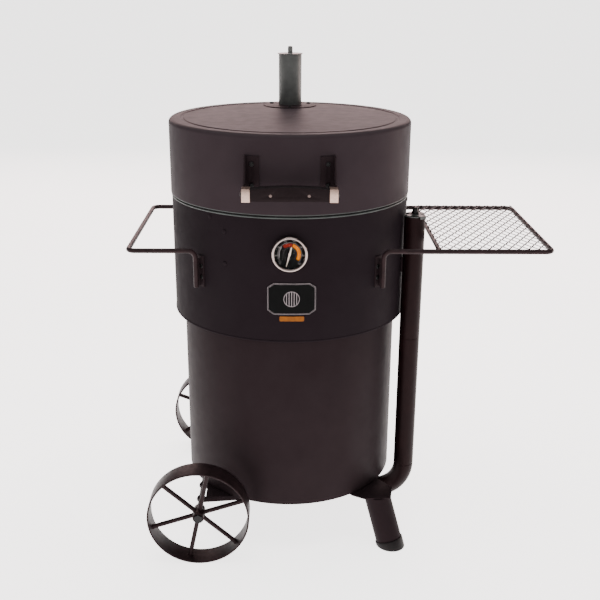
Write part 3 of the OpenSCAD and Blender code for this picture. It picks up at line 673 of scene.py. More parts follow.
    def wrapped(self, outline: Sequence[Point], low: float, high: float, radius: float,
                fine: float = 1.5, hole: Sequence[Point] | None = None) -> "Shape":
        """Bends a flat plate round the drum's front.

        Args:
            outline: the plate's outline in (across, height) points, anticlockwise.
            low: its back's distance from the wall.
            high: its front's distance from the wall.
            radius: outer radius of the wall.
            fine: longest step of the plate across the bend.
            hole: an inner outline with as many points, for a frame in place of a plate.

        Returns:
            The shape itself.
        """
        def bent(p: Point, off: float) -> tuple[float, float, float]:
            """Puts a flat point on the bent wall, with its across width kept as x."""
            turn = math.asin(p[0] / (radius + off))
            return (radius + off) * math.sin(turn), -(radius + off) * math.cos(turn), p[1]

        if hole is not None:
            n = len(outline)
            rings = [(outline, low), (outline, high), (hole, high), (hole, low)]
            points = [bent(p, off) for ring, off in rings for p in ring]
            faces = [(j * n + i, j * n + (i + 1) % n, (j + 1) % 4 * n + (i + 1) % n,
                      (j + 1) % 4 * n + i) for j in range(4) for i in range(n)]
            return self.add(points, faces)
        flat = bmesh.new()
        flat.faces.new([flat.verts.new((p[0], p[1], 0.0)) for p in outline])
        left, right = min(p[0] for p in outline), max(p[0] for p in outline)
        for k in range(1, int((right - left) / fine)):
            cut = left + k * fine
            bmesh.ops.bisect_plane(flat, geom=flat.verts[:] + flat.edges[:] + flat.faces[:],
                                   plane_co=(cut, 0, 0), plane_no=(1, 0, 0))
        flat.verts.index_update()
        front = [bent(v.co, high) for v in flat.verts]
        back = [bent(v.co, low) for v in flat.verts]
        n = len(front)
        faces = [tuple(v.index for v in f.verts) for f in flat.faces]
        faces += [tuple(n + v.index for v in reversed(f.verts)) for f in flat.faces]
        for border in (e for e in flat.edges if e.is_boundary):
            a, b = border.verts[0].index, border.verts[1].index
            faces.append((a, b, n + b, n + a))
        flat.free()
        return self.add(front + back, faces)

    def piece(self, name: str, finish: Finish) -> bpy.types.Object:
        """Makes the gathered shells one object in the frame's own coordinates.

        Args:
            name: the piece's name.
            finish: its finish.

        Returns:
            The object, at the origin, with its place in its mesh.
        """
        mesh = bpy.data.meshes.new(name)
        mesh.from_pydata([(Vector(p) + AXIS) * MM for p in self.points], [], self.faces)
        work = bmesh.new()
        work.from_mesh(mesh)
        bmesh.ops.remove_doubles(work, verts=work.verts, dist=JOIN_GAP)
        bmesh.ops.dissolve_degenerate(work, edges=work.edges, dist=JOIN_GAP / 10)
        bmesh.ops.recalc_face_normals(work, faces=work.faces)
        work.to_mesh(mesh)
        work.free()
        mesh.shade_smooth()
        mesh.set_sharp_from_angle(angle=math.radians(CREASE))
        mesh.materials.append(finish.material())
        made = bpy.data.objects.new(name, mesh)
        bpy.context.scene.collection.objects.link(made)
        return made


def softened(node: str, edge: float = 0.4, steps: int = 2) -> Shape:
    """Copies a CAD node's solid and rounds its sharp edges.

    Args:
        node: the CAD node.
        edge: width of the rounding in millimetres.
        steps: pieces in the rounding.

    Returns:
        The rounded copy.
    """
    work = bmesh.new()
    work.from_mesh(FRAME["nodes"][node].data)
    bmesh.ops.remove_doubles(work, verts=work.verts, dist=CAD_JOIN_GAP)
    flat_within = math.radians(0.6)
    bmesh.ops.dissolve_limit(work, angle_limit=flat_within, verts=work.verts, edges=work.edges)
    crease = math.radians(CREASE)
    corners = [e for e in work.edges if e.is_manifold and e.calc_face_angle(0) > crease]
    bmesh.ops.bevel(work, geom=corners, offset=edge * MM, offset_type="OFFSET", segments=steps,
                    profile=0.5, affect="EDGES", clamp_overlap=True)
    points = [v.co / MM - AXIS for v in work.verts]
    work.verts.index_update()
    faces = [tuple(v.index for v in f.verts) for f in work.faces]
    work.free()
    return Shape().add(points, faces)


def place(made: bpy.types.Object, body: Body, slot: Slot, *nodes: str) -> None:
    """Says which body a finished piece rides on and what it stands for.

    Args:
        made: the piece.
        body: the body that carries it.
        slot: the record's slot of its finish; not used.
        nodes: the CAD nodes that it replaces.
    """
    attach(made, body.value)
    if nodes:
        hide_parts(*nodes)
    LOG.info("%s: %d faces on %s", made.name, len(made.data.polygons), body.value)


def paint(node: str, finish: Finish) -> None:
    """Gives a shown CAD node its finish."""
    mesh = FRAME["nodes"][node].data
    mesh.materials.clear()
    mesh.materials.append(finish.material())
    LOG.info("%s keeps its CAD solid, in %s", node, finish.name)


# ---------------------------------------------------------------- geometry nodes


def new_tree(name: str, sizes: dict[str, str]) -> tuple[bpy.types.NodeTree, bpy.types.Node]:
    """Starts a geometry tree.

    Args:
        name: the tree's name.
        sizes: per named input, the kind of its socket.

    Returns:
        The tree and its group input.
    """
    tree = bpy.data.node_groups.new(name, "GeometryNodeTree")
    for label, kind in sizes.items():
        tree.interface.new_socket(label, in_out="INPUT", socket_type=kind)
    tree.interface.new_socket("Finish", in_out="INPUT", socket_type="NodeSocketMaterial")
    tree.interface.new_socket("Geometry", in_out="OUTPUT", socket_type="NodeSocketGeometry")
    return tree, tree.nodes.new("NodeGroupInput")


def end_tree(tree: bpy.types.NodeTree, given: bpy.types.Node, shape: bpy.types.NodeSocket) -> None:
    """Ends a tree in Realize Instances and Set Material.

    Args:
        tree: the tree.
        given: its group input.
        shape: the geometry so far.
    """
    real = add_node(tree, "GeometryNodeRealizeInstances", inputs={0: shape})
    dressed = add_node(tree, "GeometryNodeSetMaterial", inputs={
        "Geometry": real.outputs[0], "Material": given.outputs["Finish"]})
    add_node(tree, "NodeGroupOutput", inputs={0: dressed.outputs[0]})


def math_node(tree: bpy.types.NodeTree, operation: str, *values: Any) -> bpy.types.NodeSocket:
    """The result of one sum on values or sockets."""
    return add_node(tree, "ShaderNodeMath", {"operation": operation},
                    dict(enumerate(values))).outputs[0]


def grown(tree: bpy.types.NodeTree, finish: Finish, values: dict[str, Any]) -> bpy.types.Mesh:
    """Runs a tree and keeps its result as a plain mesh.

    Args:
        tree: the geometry tree.
        finish: the finish that the tree sets.
        values: the tree's inputs, by name.

    Returns:
        The mesh, in metres.
    """
    host = bpy.data.objects.new("host", bpy.data.meshes.new("host"))
    bpy.context.scene.collection.objects.link(host)
    modifier = host.modifiers.new("grow", "NODES")
    modifier.node_group = tree
    wanted = dict(values, Finish=finish.material())
    for item in tree.interface.items_tree:
        if item.in_out == "INPUT" and item.name in wanted:
            modifier[item.identifier] = wanted[item.name]
    host.update_tag()
    bpy.context.view_layer.update()
    seen = host.evaluated_get(bpy.context.evaluated_depsgraph_get())
    mesh = bpy.data.meshes.new_from_object(seen)
    host.modifiers.remove(modifier)
    bpy.data.objects.remove(host)
    return mesh


def round_tree() -> bpy.types.NodeTree:
    """Tree that sets copies of a piece round an upright axis."""
    tree, given = new_tree("pieces_round_an_axis", {
        "Piece": "NodeSocketObject", "Count": "NodeSocketInt", "Radius": "NodeSocketFloat",
        "Start": "NodeSocketFloat", "Step": "NodeSocketFloat"})
    places = add_node(tree, "GeometryNodeMeshLine", inputs={
        "Count": given.outputs["Count"], "Offset": (0.0, 0.0, 0.0)})
    index = add_node(tree, "GeometryNodeInputIndex").outputs[0]
    angle = math_node(tree, "MULTIPLY_ADD", index, given.outputs["Step"], given.outputs["Start"])
    turn = add_node(tree, "ShaderNodeCombineXYZ", inputs={"Z": angle})
    out = add_node(tree, "ShaderNodeCombineXYZ", inputs={"X": given.outputs["Radius"]})
    single = add_node(tree, "GeometryNodeObjectInfo", inputs={"Object": given.outputs["Piece"]})
    copies = add_node(tree, "GeometryNodeInstanceOnPoints", inputs={
        "Points": places.outputs[0], "Instance": single.outputs["Geometry"],
        "Rotation": turn.outputs[0]})
    spread = add_node(tree, "GeometryNodeTranslateInstances", inputs={
        "Instances": copies.outputs[0], "Translation": out.outputs[0], "Local Space": True})
    end_tree(tree, given, spread.outputs[0])
    return tree


def rods_tree() -> bpy.types.NodeTree:
    """Tree that lays parallel rods side by side, each as long as the round frame lets it be."""
    tree, given = new_tree("rods_across_a_round_frame", {
        "Count": "NodeSocketInt", "Pitch": "NodeSocketFloat", "Reach": "NodeSocketFloat",
        "Rod Radius": "NodeSocketFloat"})
    last = math_node(tree, "SUBTRACT", given.outputs["Count"], 1.0)
    half = math_node(tree, "MULTIPLY", math_node(tree, "MULTIPLY", last, given.outputs["Pitch"]), -0.5)
    first = add_node(tree, "ShaderNodeCombineXYZ", inputs={"Y": half})
    step = add_node(tree, "ShaderNodeCombineXYZ", inputs={"Y": given.outputs["Pitch"]})
    row = add_node(tree, "GeometryNodeMeshLine", inputs={
        "Count": given.outputs["Count"], "Start Location": first.outputs[0],
        "Offset": step.outputs[0]})
    rod = add_node(tree, "GeometryNodeMeshCylinder", inputs={
        "Vertices": 14, "Radius": given.outputs["Rod Radius"], "Depth": 2.0})
    top_light_share = add_node(tree, "GeometryNodeTransform", inputs={
        "Geometry": rod.outputs[0], "Rotation": (0.0, math.pi / 2, 0.0)})
    across = add_node(tree, "ShaderNodeSeparateXYZ", inputs={
        0: add_node(tree, "GeometryNodeInputPosition").outputs[0]}).outputs["Y"]
    reach = given.outputs["Reach"]
    left = math_node(tree, "SUBTRACT", math_node(tree, "MULTIPLY", reach, reach),
                     math_node(tree, "MULTIPLY", across, across))
    size = add_node(tree, "ShaderNodeCombineXYZ", inputs={
        "X": math_node(tree, "SQRT", left), "Y": 1.0, "Z": 1.0})
    copies = add_node(tree, "GeometryNodeInstanceOnPoints", inputs={
        "Points": row.outputs[0], "Instance": top_light_share.outputs[0], "Scale": size.outputs[0]})
    end_tree(tree, given, copies.outputs[0])
    return tree


def expanded_tree(name: str, bent: bool) -> bpy.types.NodeTree:
    """Tree that makes expanded metal: strands that zigzag and meet their neighbours in turn.

    Args:
        name: the tree's name.
        bent: whether the sheet is bent into an upright cylinder of the Bend radius.

    Returns:
        The tree.
    """
    tree, given = new_tree(name, {
        "Strands": "NodeSocketInt", "Spacing": "NodeSocketFloat", "Length": "NodeSocketFloat",
        "Diamond": "NodeSocketFloat", "Width": "NodeSocketFloat", "Thickness": "NodeSocketFloat",
        "Lean": "NodeSocketFloat", "Steps": "NodeSocketInt", "Bend": "NodeSocketFloat"})
    spacing = given.outputs["Spacing"]
    step = add_node(tree, "ShaderNodeCombineXYZ", inputs={"X": spacing})
    row = add_node(tree, "GeometryNodeMeshLine", inputs={
        "Count": given.outputs["Strands"], "Offset": step.outputs[0]})
    end = add_node(tree, "ShaderNodeCombineXYZ", inputs={"Y": given.outputs["Length"]})
    strand = add_node(tree, "GeometryNodeCurvePrimitiveLine", inputs={"End": end.outputs[0]})
    fine = add_node(tree, "GeometryNodeResampleCurve", inputs={
        "Curve": strand.outputs[0], "Count": given.outputs["Steps"]})
    copies = add_node(tree, "GeometryNodeInstanceOnPoints", inputs={
        "Points": row.outputs[0], "Instance": fine.outputs[0]})
    real = add_node(tree, "GeometryNodeRealizeInstances", inputs={0: copies.outputs[0]})
    where = add_node(tree, "ShaderNodeSeparateXYZ", inputs={
        0: add_node(tree, "GeometryNodeInputPosition").outputs[0]})
    number = math_node(tree, "ROUND", math_node(tree, "DIVIDE", where.outputs["X"], spacing))
    odd = math_node(tree, "FLOORED_MODULO", number, 2.0)
    along = math_node(tree, "DIVIDE", where.outputs["Y"], given.outputs["Diamond"])
    wave = math_node(tree, "PINGPONG", math_node(tree, "MULTIPLY_ADD", odd, 0.5, along), 0.5)
    zigzag = math_node(tree, "MULTIPLY_ADD", wave, 5.2, -1.3)
    flat = math_node(tree, "MAXIMUM", math_node(tree, "MINIMUM", zigzag, 1.0), -1.0)
    swing = math_node(tree, "MULTIPLY_ADD", spacing, 0.5,
                      math_node(tree, "MULTIPLY", given.outputs["Width"], -0.42))
    aside = add_node(tree, "ShaderNodeCombineXYZ", inputs={
        "X": math_node(tree, "MULTIPLY", flat, swing)})
    bowed = add_node(tree, "GeometryNodeSetPosition", inputs={
        "Geometry": real.outputs[0], "Offset": aside.outputs[0]})
    upright = add_node(tree, "GeometryNodeSetCurveNormal", {"mode": "Z_UP"}, {0: bowed.outputs[0]})
    leaning = add_node(tree, "GeometryNodeSetCurveTilt", inputs={
        "Curve": upright.outputs[0], "Tilt": given.outputs["Lean"]})
    section = add_node(tree, "GeometryNodeCurvePrimitiveQuadrilateral", inputs={
        "Width": given.outputs["Width"], "Height": given.outputs["Thickness"]})
    metal = add_node(tree, "GeometryNodeCurveToMesh", inputs={
        "Curve": leaning.outputs[0], "Profile Curve": section.outputs[0], "Fill Caps": True})
    shape = metal.outputs[0]
    if bent:
        spot = add_node(tree, "ShaderNodeSeparateXYZ", inputs={
            0: add_node(tree, "GeometryNodeInputPosition").outputs[0]})
        turn = math_node(tree, "DIVIDE", spot.outputs["X"], given.outputs["Bend"])
        out = math_node(tree, "ADD", spot.outputs["Z"], given.outputs["Bend"])
        bend = add_node(tree, "ShaderNodeCombineXYZ", inputs={
            "X": math_node(tree, "MULTIPLY", out, math_node(tree, "COSINE", turn)),
            "Y": math_node(tree, "MULTIPLY", out, math_node(tree, "SINE", turn)),
            "Z": spot.outputs["Y"]})
        shape = add_node(tree, "GeometryNodeSetPosition", inputs={
            "Geometry": shape, "Position": bend.outputs[0]}).outputs[0]
    end_tree(tree, given, shape)
    return tree


@dataclass
class Workshop:
    """The geometry trees, built once and used by every sub-assembly."""

    trees: dict[str, bpy.types.NodeTree] = field(default_factory=dict)

    def tree(self, name: str) -> bpy.types.NodeTree:
        """Gives one of the trees, built at its first use."""
        makers = {"round": round_tree, "rods": rods_tree,
                  "sheet": lambda: expanded_tree("expanded_metal_sheet", False),
                  "basket": lambda: expanded_tree("expanded_metal_bent_round", True)}
        if name not in self.trees:
            self.trees[name] = makers[name]()
        return self.trees[name]

    def ring(self, single: Shape, finish: Finish, count: int, radius: float, start: float = 0.0,
             step: float | None = None) -> bpy.types.Mesh:
        """Copies of a small shape round an upright axis.

        Args:
            single: the shape, with its outward side along +X.
            finish: its finish.
            count: how many copies.
            radius: distance from the axis.
            start: angle of the first, in degrees.
            step: angle between two, or none for a full even ring.

        Returns:
            One mesh, in metres.
        """
        seed = single.piece("seed", finish)
        seed.data.transform(Matrix.Translation(-AXIS * MM))
        mesh = grown(self.tree("round"), finish, {
            "Piece": seed, "Count": count, "Radius": radius * MM, "Start": math.radians(start),
            "Step": math.radians(360 / count if step is None else step)})
        bpy.data.objects.remove(seed)
        return mesh

    def rods(self, finish: Finish, count: int, pitch: float, reach: float,
             radius: float) -> bpy.types.Mesh:
        """Parallel rods that end on a circle of radius reach."""
        return grown(self.tree("rods"), finish, {
            "Count": count, "Pitch": pitch * MM, "Reach": reach * MM, "Rod Radius": radius * MM})

    def expanded(self, finish: Finish, strands: int, spacing: float, length: float,
                 diamond: float, width: float, thickness: float, lean: float,
                 bend: float = 0.0) -> bpy.types.Mesh:
        """A sheet of expanded metal from its corner, or one bent round the upright axis.

        Args:
            finish: its finish.
            strands: how many strands lie side by side.
            spacing: distance between two strands' middles.
            length: length of a strand.
            diamond: length of one diamond along the strands.
            width: width of a strand.
            thickness: thickness of a strand.
            lean: how far each strand is twisted out of flat, in degrees.
            bend: radius of the cylinder, or 0 for a flat sheet.

        Returns:
            One mesh, in metres.
        """
        return grown(self.tree("basket" if bend else "sheet"), finish, {
            "Strands": strands, "Spacing": spacing * MM, "Length": length * MM,
            "Diamond": diamond * MM, "Width": width * MM, "Thickness": thickness * MM,
            "Lean": math.radians(lean), "Steps": round(length / diamond * 8) + 1,
            "Bend": bend * MM})


FRAME: dict[str, Any] = {}
SHOP = Workshop()


def cap_screw(radius: float, height: float, socket: float = 0.0) -> Shape:
    """A low domed screw head that stands out along +X.

    Args:
        radius: radius of the head.
        height: its height.
        socket: radius of a six-sided socket sunk in it, or 0.

    Returns:
        The head.
    """
    out = turned("Y", 90)
    line = [(0.0, -0.5), (radius, -0.5), (radius, height * 0.35), (radius * 0.86, height * 0.75),
            (radius * 0.55, height * 0.96)]
    line += [(socket, height), (socket * 0.95, height * 0.4), (0.0, height * 0.35)] if socket else [
        (0.0, height)]
    return Shape().lathe(line, out, 24)


def shank(radius: float, low: float, high: float, at: Matrix | None = None) -> Shape:
    """The plain shank of a screw or bolt, along Z or where a matrix puts it."""
    return Shape().slab(circle(radius, 12), low, high, at, 0.2)


# ---------------------------------------------------------------- sub-assemblies


@dataclass
class Drum:
    """The lower drum, the cooking chamber on it and the bolts in its wall."""

    drum_r: float = 234.0
    belly_r: float = 254.0
    sheet: float = 2.0
    bottom: float = 115.5
    ledge: float = 501.0
    rim: float = 759.0
    bolt_angles: tuple[float, ...] = (-120.5, -0.5, 119.5)
    bolt_heights: tuple[float, float] = (656.5, 722.0)
    head_r: float = 4.5
    rivet_turn: float = -8.0
    rivet_drop: float = 12.0
    bead_r: float = 2.0

    def wall(self) -> None:
        """The straight drum wall, with softened edges."""
        line = box_outline(self.drum_r - self.sheet, self.drum_r, self.bottom, self.ledge)
        made = Shape().lathe(line, edge=0.8).piece("drum_wall", STOVE_PAINT)
        place(made, Body.SMOKER, Slot.BLACK, "lower_drum")

    def chamber(self) -> None:
        """The wider chamber, folded inwards at its foot, with the hem that the fold leaves."""
        inner, out, z = self.belly_r - self.sheet, self.belly_r, self.ledge
        line = rounded([(self.drum_r - 8, z), (out + 0.8, z), (out + 0.8, z + 3), (out, z + 4.5),
                        (out, self.rim - 2.5), (inner, self.rim - 2.5), (inner, z + 2),
                        (self.drum_r - 8, z + 2)],
                       [0.4, 1.2, 1.0, 1.0, 0.3, 0.3, 1.0, 0.4])
        # The chamber takes the darker copy of the stove paint: painted shade.
        made = Shape().lathe(line, turns=256).piece("chamber_wall", SHADED_CHAMBER_PAINT)
        place(made, Body.SMOKER, Slot.BLACK, "belly_shell")

    def mouth(self) -> None:
        """The rolled bead round the chamber's mouth, in the lighter paint that stands for its
        highlight.
        """
        bead = [(self.belly_r - 1 + x, self.rim - self.bead_r + y)
                for x, y in circle(self.bead_r, 20)]
        # The bead takes the lighter rim paint: painted highlight.
        made = Shape().lathe(bead, turns=256).piece("chamber_mouth_bead", RIM_HIGHLIGHT_PAINT)
        place(made, Body.SMOKER, Slot.GREY, "belly_rim")

    def bolts(self) -> None:
        """Domed heads of the grate straps' bolts, their nuts inside, and three rivets."""
        # Heads, nuts and rivets take the chamber's darker paint, painted shade like its wall.
        made = Shape()
        first, count = self.bolt_angles[0], len(self.bolt_angles)
        third, across = self.bolt_angles[1] - first, turned("Y", 90)
        for height in self.bolt_heights:
            nut = Shape().slab(circle(5.0, 6, 30), 0, 3, across, 0.3)
            for single, radius in ((cap_screw(self.head_r, 1.9), self.belly_r),
                                   (nut, self.belly_r - 8),
                                   (shank(2.9, -8, 0, across), self.belly_r)):
                made.take(SHOP.ring(single, SHADED_CHAMBER_PAINT, count, radius, first, third),
                          moved(0, 0, height))
        rivet = cap_screw(self.head_r, 1.5)
        made.take(SHOP.ring(rivet, SHADED_CHAMBER_PAINT, count, self.belly_r, first + self.rivet_turn, third),
                  moved(0, 0, self.rim - self.rivet_drop))
        place(made.piece("chamber_bolts", SHADED_CHAMBER_PAINT), Body.SMOKER, Slot.BLACK, "bracket_bolts")

    def inside(self) -> None:
        """The floor and the straps that carry the grate."""
        paint("drum_floor", STOVE_PAINT)
        straps = softened("grate_brackets", 0.5).piece("grate_straps", PORCELAIN)
        place(straps, Body.SMOKER, Slot.PORCELAIN, "grate_brackets")

    def build(self) -> None:
        """Builds drum and chamber."""
        self.wall()
        self.chamber()
        self.mouth()
        self.bolts()
        self.inside()


@dataclass
class Thermometer:
    """Dial thermometer on the chamber's front."""

    back: float = 254.5
    height: float = 688.0
    bezel_r: float = 35.5
    face: float = 7.0
    scale_r: float = 23.4
    band: tuple[float, float] = (15.2, 21.6)
    low_band: tuple[float, float] = (19.8, 21.6)
    first_mark: float = 225.0
    mark_step: float = 38.571
    numbers: tuple[int, ...] = (50, 100, 150, 200, 250, 300, 350, 400)

    def at(self, out: float = 0.0) -> Matrix:
        """The dial's own place: x to the right, y up, z out of the chamber."""
        return moved(0, -self.back, self.height) @ turned("X", 90) @ moved(0, 0, out)

    def housing(self) -> None:
        """Cup, bezel and glass."""
        r = self.bezel_r
        cup = Shape().lathe([(0, 0), (r - 3, 0), (r - 3, 9.9), (r - 5, 9.9), (r - 5, 2), (0, 2)],
                            self.at(), 96, 0.2)
        place(cup.piece("dial_cup", FLAKE_PAINT), Body.SMOKER, Slot.GREY, "gauge_case")
        line = rounded([(r - 3, 4), (r - 0.6, 4), (r, 6), (r, 10), (r - 1.2, 12.6), (r - 3.6, 13),
                        (r - 5.4, 11.2), (r - 5.5, 10), (r - 3, 10)],
                       [0.3, 0.8, 1.5, 2.0, 1.6, 1.4, 0.8, 0.1, 0.1])
        ring = Shape().lathe(line, self.at(), 128)
        place(ring.piece("dial_bezel", TURNED_STEEL), Body.SMOKER, Slot.STEEL, "gauge_bezel")
        pane = Shape().lathe([(0, 9), (r - 5.05, 9), (r - 5.05, 9.9), (0, 9.9)], self.at(), 96)
        place(pane.piece("dial_pane", CLEAR_GLASS), Body.SMOKER, Slot.GLASS, "gauge_glass")

    def face_disc(self) -> None:
        """The printed card, as a thin disc."""
        card = Shape().lathe([(0, 6), (self.bezel_r - 5.1, 6), (self.bezel_r - 5.1, 7), (0, 7)],
                             self.at(), 96)
        place(card.piece("dial_card", DIAL_BLACK), Body.SMOKER, Slot.DIAL, "gauge_dial")

    def arc(self, inner: float, outer: float, first: float, last: float) -> Shape:
        """A printed band between two clock angles.

        Args:
            inner: its inner radius.
            outer: its outer radius.
            first: where it starts, in degrees clockwise from the top.
            last: where it ends.

        Returns:
            The band, a fifth of a millimetre thick.
        """
        steps = max(4, round(abs(last - first) / 3))
        turn = [math.radians(90 - first - (last - first) * k / steps) for k in range(steps + 1)]
        line = [(outer * math.cos(a), outer * math.sin(a)) for a in reversed(turn)]
        line += [(inner * math.cos(a), inner * math.sin(a)) for a in turn]
        return Shape().slab(line, self.face - 0.05, self.face + 0.12, self.at(), 0.03)

    def print_scale(self) -> None:
        """Scale line, marks, coloured bands and numbers."""
        span = self.mark_step * (len(self.numbers) - 1)
        start = self.first_mark
        grey = self.arc(self.scale_r - 0.25, self.scale_r + 0.25, start, start + span)
        flat = self.at(self.face - 0.05)
        for single, step, out in ((box_outline(-1.7, 0, -0.32, 0.32), 1, 0.0),
                                  (box_outline(-1.0, 0, -0.2, 0.2), 0.2, 0.0)):
            mark = Shape().slab(single, 0, 0.17, None, 0.02)
            count = round((len(self.numbers) - 1) / step) + 1
            grey.take(SHOP.ring(mark, INK_GREY, count, self.scale_r + out, 90 - start,
                                -self.mark_step * step), flat)
        inner = Shape().slab(box_outline(-1.2, 1.2, -0.25, 0.25), 0, 0.17, None, 0.02)
        grey.take(SHOP.ring(inner, INK_GREY, 15, 12.6, 90 - start, -span / 14), flat)
        for k, number in enumerate(self.numbers):
            grey.take(self.numeral(number), self.spot(26.9, start + k * self.mark_step))
        grey_arc = self.arc(*self.low_band, 250, 312)
        grey.add(grey_arc.points, grey_arc.faces)
        place(grey.piece("dial_scale", INK_GREY), Body.SMOKER, Slot.DIAL)
        red = self.arc(*self.band, 321, 375)
        place(red.piece("dial_band_red", INK_RED), Body.SMOKER, Slot.DIAL)
        amber = self.arc(*self.band, 379, 486)
        place(amber.piece("dial_band_orange", INK_ORANGE), Body.SMOKER, Slot.DIAL)

    def spot(self, radius: float, clock: float) -> Matrix:
        """A place on the face at a clock angle."""
        angle = math.radians(90 - clock)
        return self.at(self.face - 0.05) @ moved(radius * math.cos(angle), radius * math.sin(angle), 0)

    def numeral(self, number: int) -> bpy.types.Mesh:
        """A number on the dial, as a thin mesh in metres, centred on its own middle."""
        text = bpy.data.curves.new("numeral", "FONT")
        text.body = str(number)
        text.size = 4.2 * MM
        text.align_x = "CENTER"
        text.align_y = "CENTER"
        text.extrude = 0.08 * MM
        text.resolution_u = 3
        host = bpy.data.objects.new("numeral", text)
        bpy.context.scene.collection.objects.link(host)
        seen = host.evaluated_get(bpy.context.evaluated_depsgraph_get())
        mesh = bpy.data.meshes.new_from_object(seen)
        bpy.data.objects.remove(host)
        bpy.data.curves.remove(text)
        return mesh

    def pointer(self) -> None:
        """White pointer and its boss, which turn on the stem."""
        at = self.at() @ turned("Z", -105)
        hand = rounded([(-14, -1.1), (-14, 1.1), (0, 1.5), (26, 0.35), (26, -0.35), (0, -1.5)],
                       0.3)
        made = Shape().slab(flattened(reversed(hand)), 7.4, 8.0, at, 0.12)
        made.lathe([(0, 7.35), (2.6, 7.35), (2.6, 8.0), (1.8, 8.5), (0, 8.6)], at, 32)
        place(made.piece("dial_pointer", NEEDLE_WHITE), Body.NEEDLE, Slot.NEEDLE, "gauge_needle")

    def build(self) -> None:
        """Builds the thermometer."""
        self.housing()
        self.face_disc()
        self.print_scale()
        self.pointer()
        stem = Shape().pipe([(0, 0, -62), (0, 0, 2)], 4, at=self.at(), sides=24, edge=1.2)
        place(stem.piece("probe_stem", BRUSHED_STEEL), Body.SMOKER, Slot.STEEL, "gauge_stem")
        nut = softened("gauge_nut", 0.5).piece("probe_nut", ZINC)
        place(nut, Body.SMOKER, Slot.ZINC, "gauge_nut")


@dataclass
class Badge:
    """Plain plate with a thin double border, and a small tag under it. No lettering."""

    wall: float = 254.0
    left: float = -45.0
    right: float = 53.0
    low: float = 560.0
    high: float = 627.0
    corner: float = 13.0
    step: float = 2.0
    line_out: tuple[float, float] = (0.6, 1.2)
    borders: tuple[tuple[float, float], ...] = ((1.0, 1.6), (2.8, 3.2))
    tag: tuple[float, float, float, float] = (-20.0, 29.0, 547.0, 557.0)
    sign_r: float = 16.0
    sign_inner_r: float = 14.9
    bar_step: float = 5.0
    bar_half: float = 0.7

    def outline(self, inset: float) -> Outline:
        """The plate's outline with cut corners, set in by some millimetres."""
        x0, x1 = self.left + inset, self.right - inset
        y0, y1 = self.low + inset, self.high - inset
        c = self.corner - inset * 0.6
        line = [(x0 + c, y0), (x1 - c, y0), (x1, y0 + c * 0.7), (x1, y1 - c * 0.7), (x1 - c, y1),
                (x0 + c, y1), (x0, y1 - c * 0.7), (x0, y0 + c * 0.7)]
        return densified(rounded(line, 3.0), self.step)

    def build(self) -> None:
        """Builds plate, border lines and tag."""
        plate = Shape().wrapped(self.outline(0), 0.0, 1.0, self.wall)
        place(plate.piece("badge_plate", BADGE_BLACK), Body.SMOKER, Slot.BADGE, "name_badge")
        lines = Shape()
        for outer, inner in self.borders:
            lines.wrapped(self.outline(outer), *self.line_out, self.wall,
                          hole=self.matched(outer, inner))
        self.symbol(lines)
        place(lines.piece("badge_border", BADGE_LINE), Body.SMOKER, Slot.BADGE)
        smooth = densified(rounded(box_outline(*self.tag), 2.0), self.step)
        made = Shape().wrapped(smooth, 0.0, 1.2, self.wall)
        place(made.piece("badge_tag_plate", TAG_ENAMEL), Body.SMOKER, Slot.TAG, "badge_tag")

    def symbol(self, lines: Shape) -> None:
        """A plain sign of a round grate: a ring with bars across it.

        Args:
            lines: the shape that gets it.
        """
        x, z = (self.left + self.right) / 2, (self.low + self.high) / 2
        outer, inner = ([(x + a, z + b) for a, b in circle(radius, 64)]
                        for radius in (self.sign_r, self.sign_inner_r))
        lines.wrapped(outer, *self.line_out, self.wall, hole=inner)
        for k in range(-2, 3):
            middle, reach = x + self.bar_step * k, self.sign_inner_r + 0.1
            half = math.sqrt(reach ** 2 - (self.bar_step * k) ** 2)
            bar = box_outline(middle - self.bar_half, middle + self.bar_half, z - half, z + half)
            lines.wrapped(bar, *self.line_out, self.wall)

    def matched(self, outer: float, inner: float) -> Outline:
        """The inner outline of a border, point for point beside its outer one."""
        line = self.outline(outer)
        n, gap, made = len(line), inner - outer, []
        for i, p in enumerate(line):
            run = Vector(line[(i + 1) % n]) - Vector(line[i - 1])
            normal = Vector((-run.y, run.x)).normalized()
            made.append((p[0] + normal.x * gap, p[1] + normal.y * gap))
        return made


def densified(line: Sequence[Point], step: float) -> Outline:
    """Adds points to a closed outline so that no side is longer than a step."""
    made: Outline = []
    for i, p in enumerate(line):
        a, b = Vector(p[:2]), Vector(line[(i + 1) % len(line)][:2])
        parts = max(1, math.ceil((b - a).length / step))
        made += [tuple(a.lerp(b, k / parts)) for k in range(parts)]
    return made


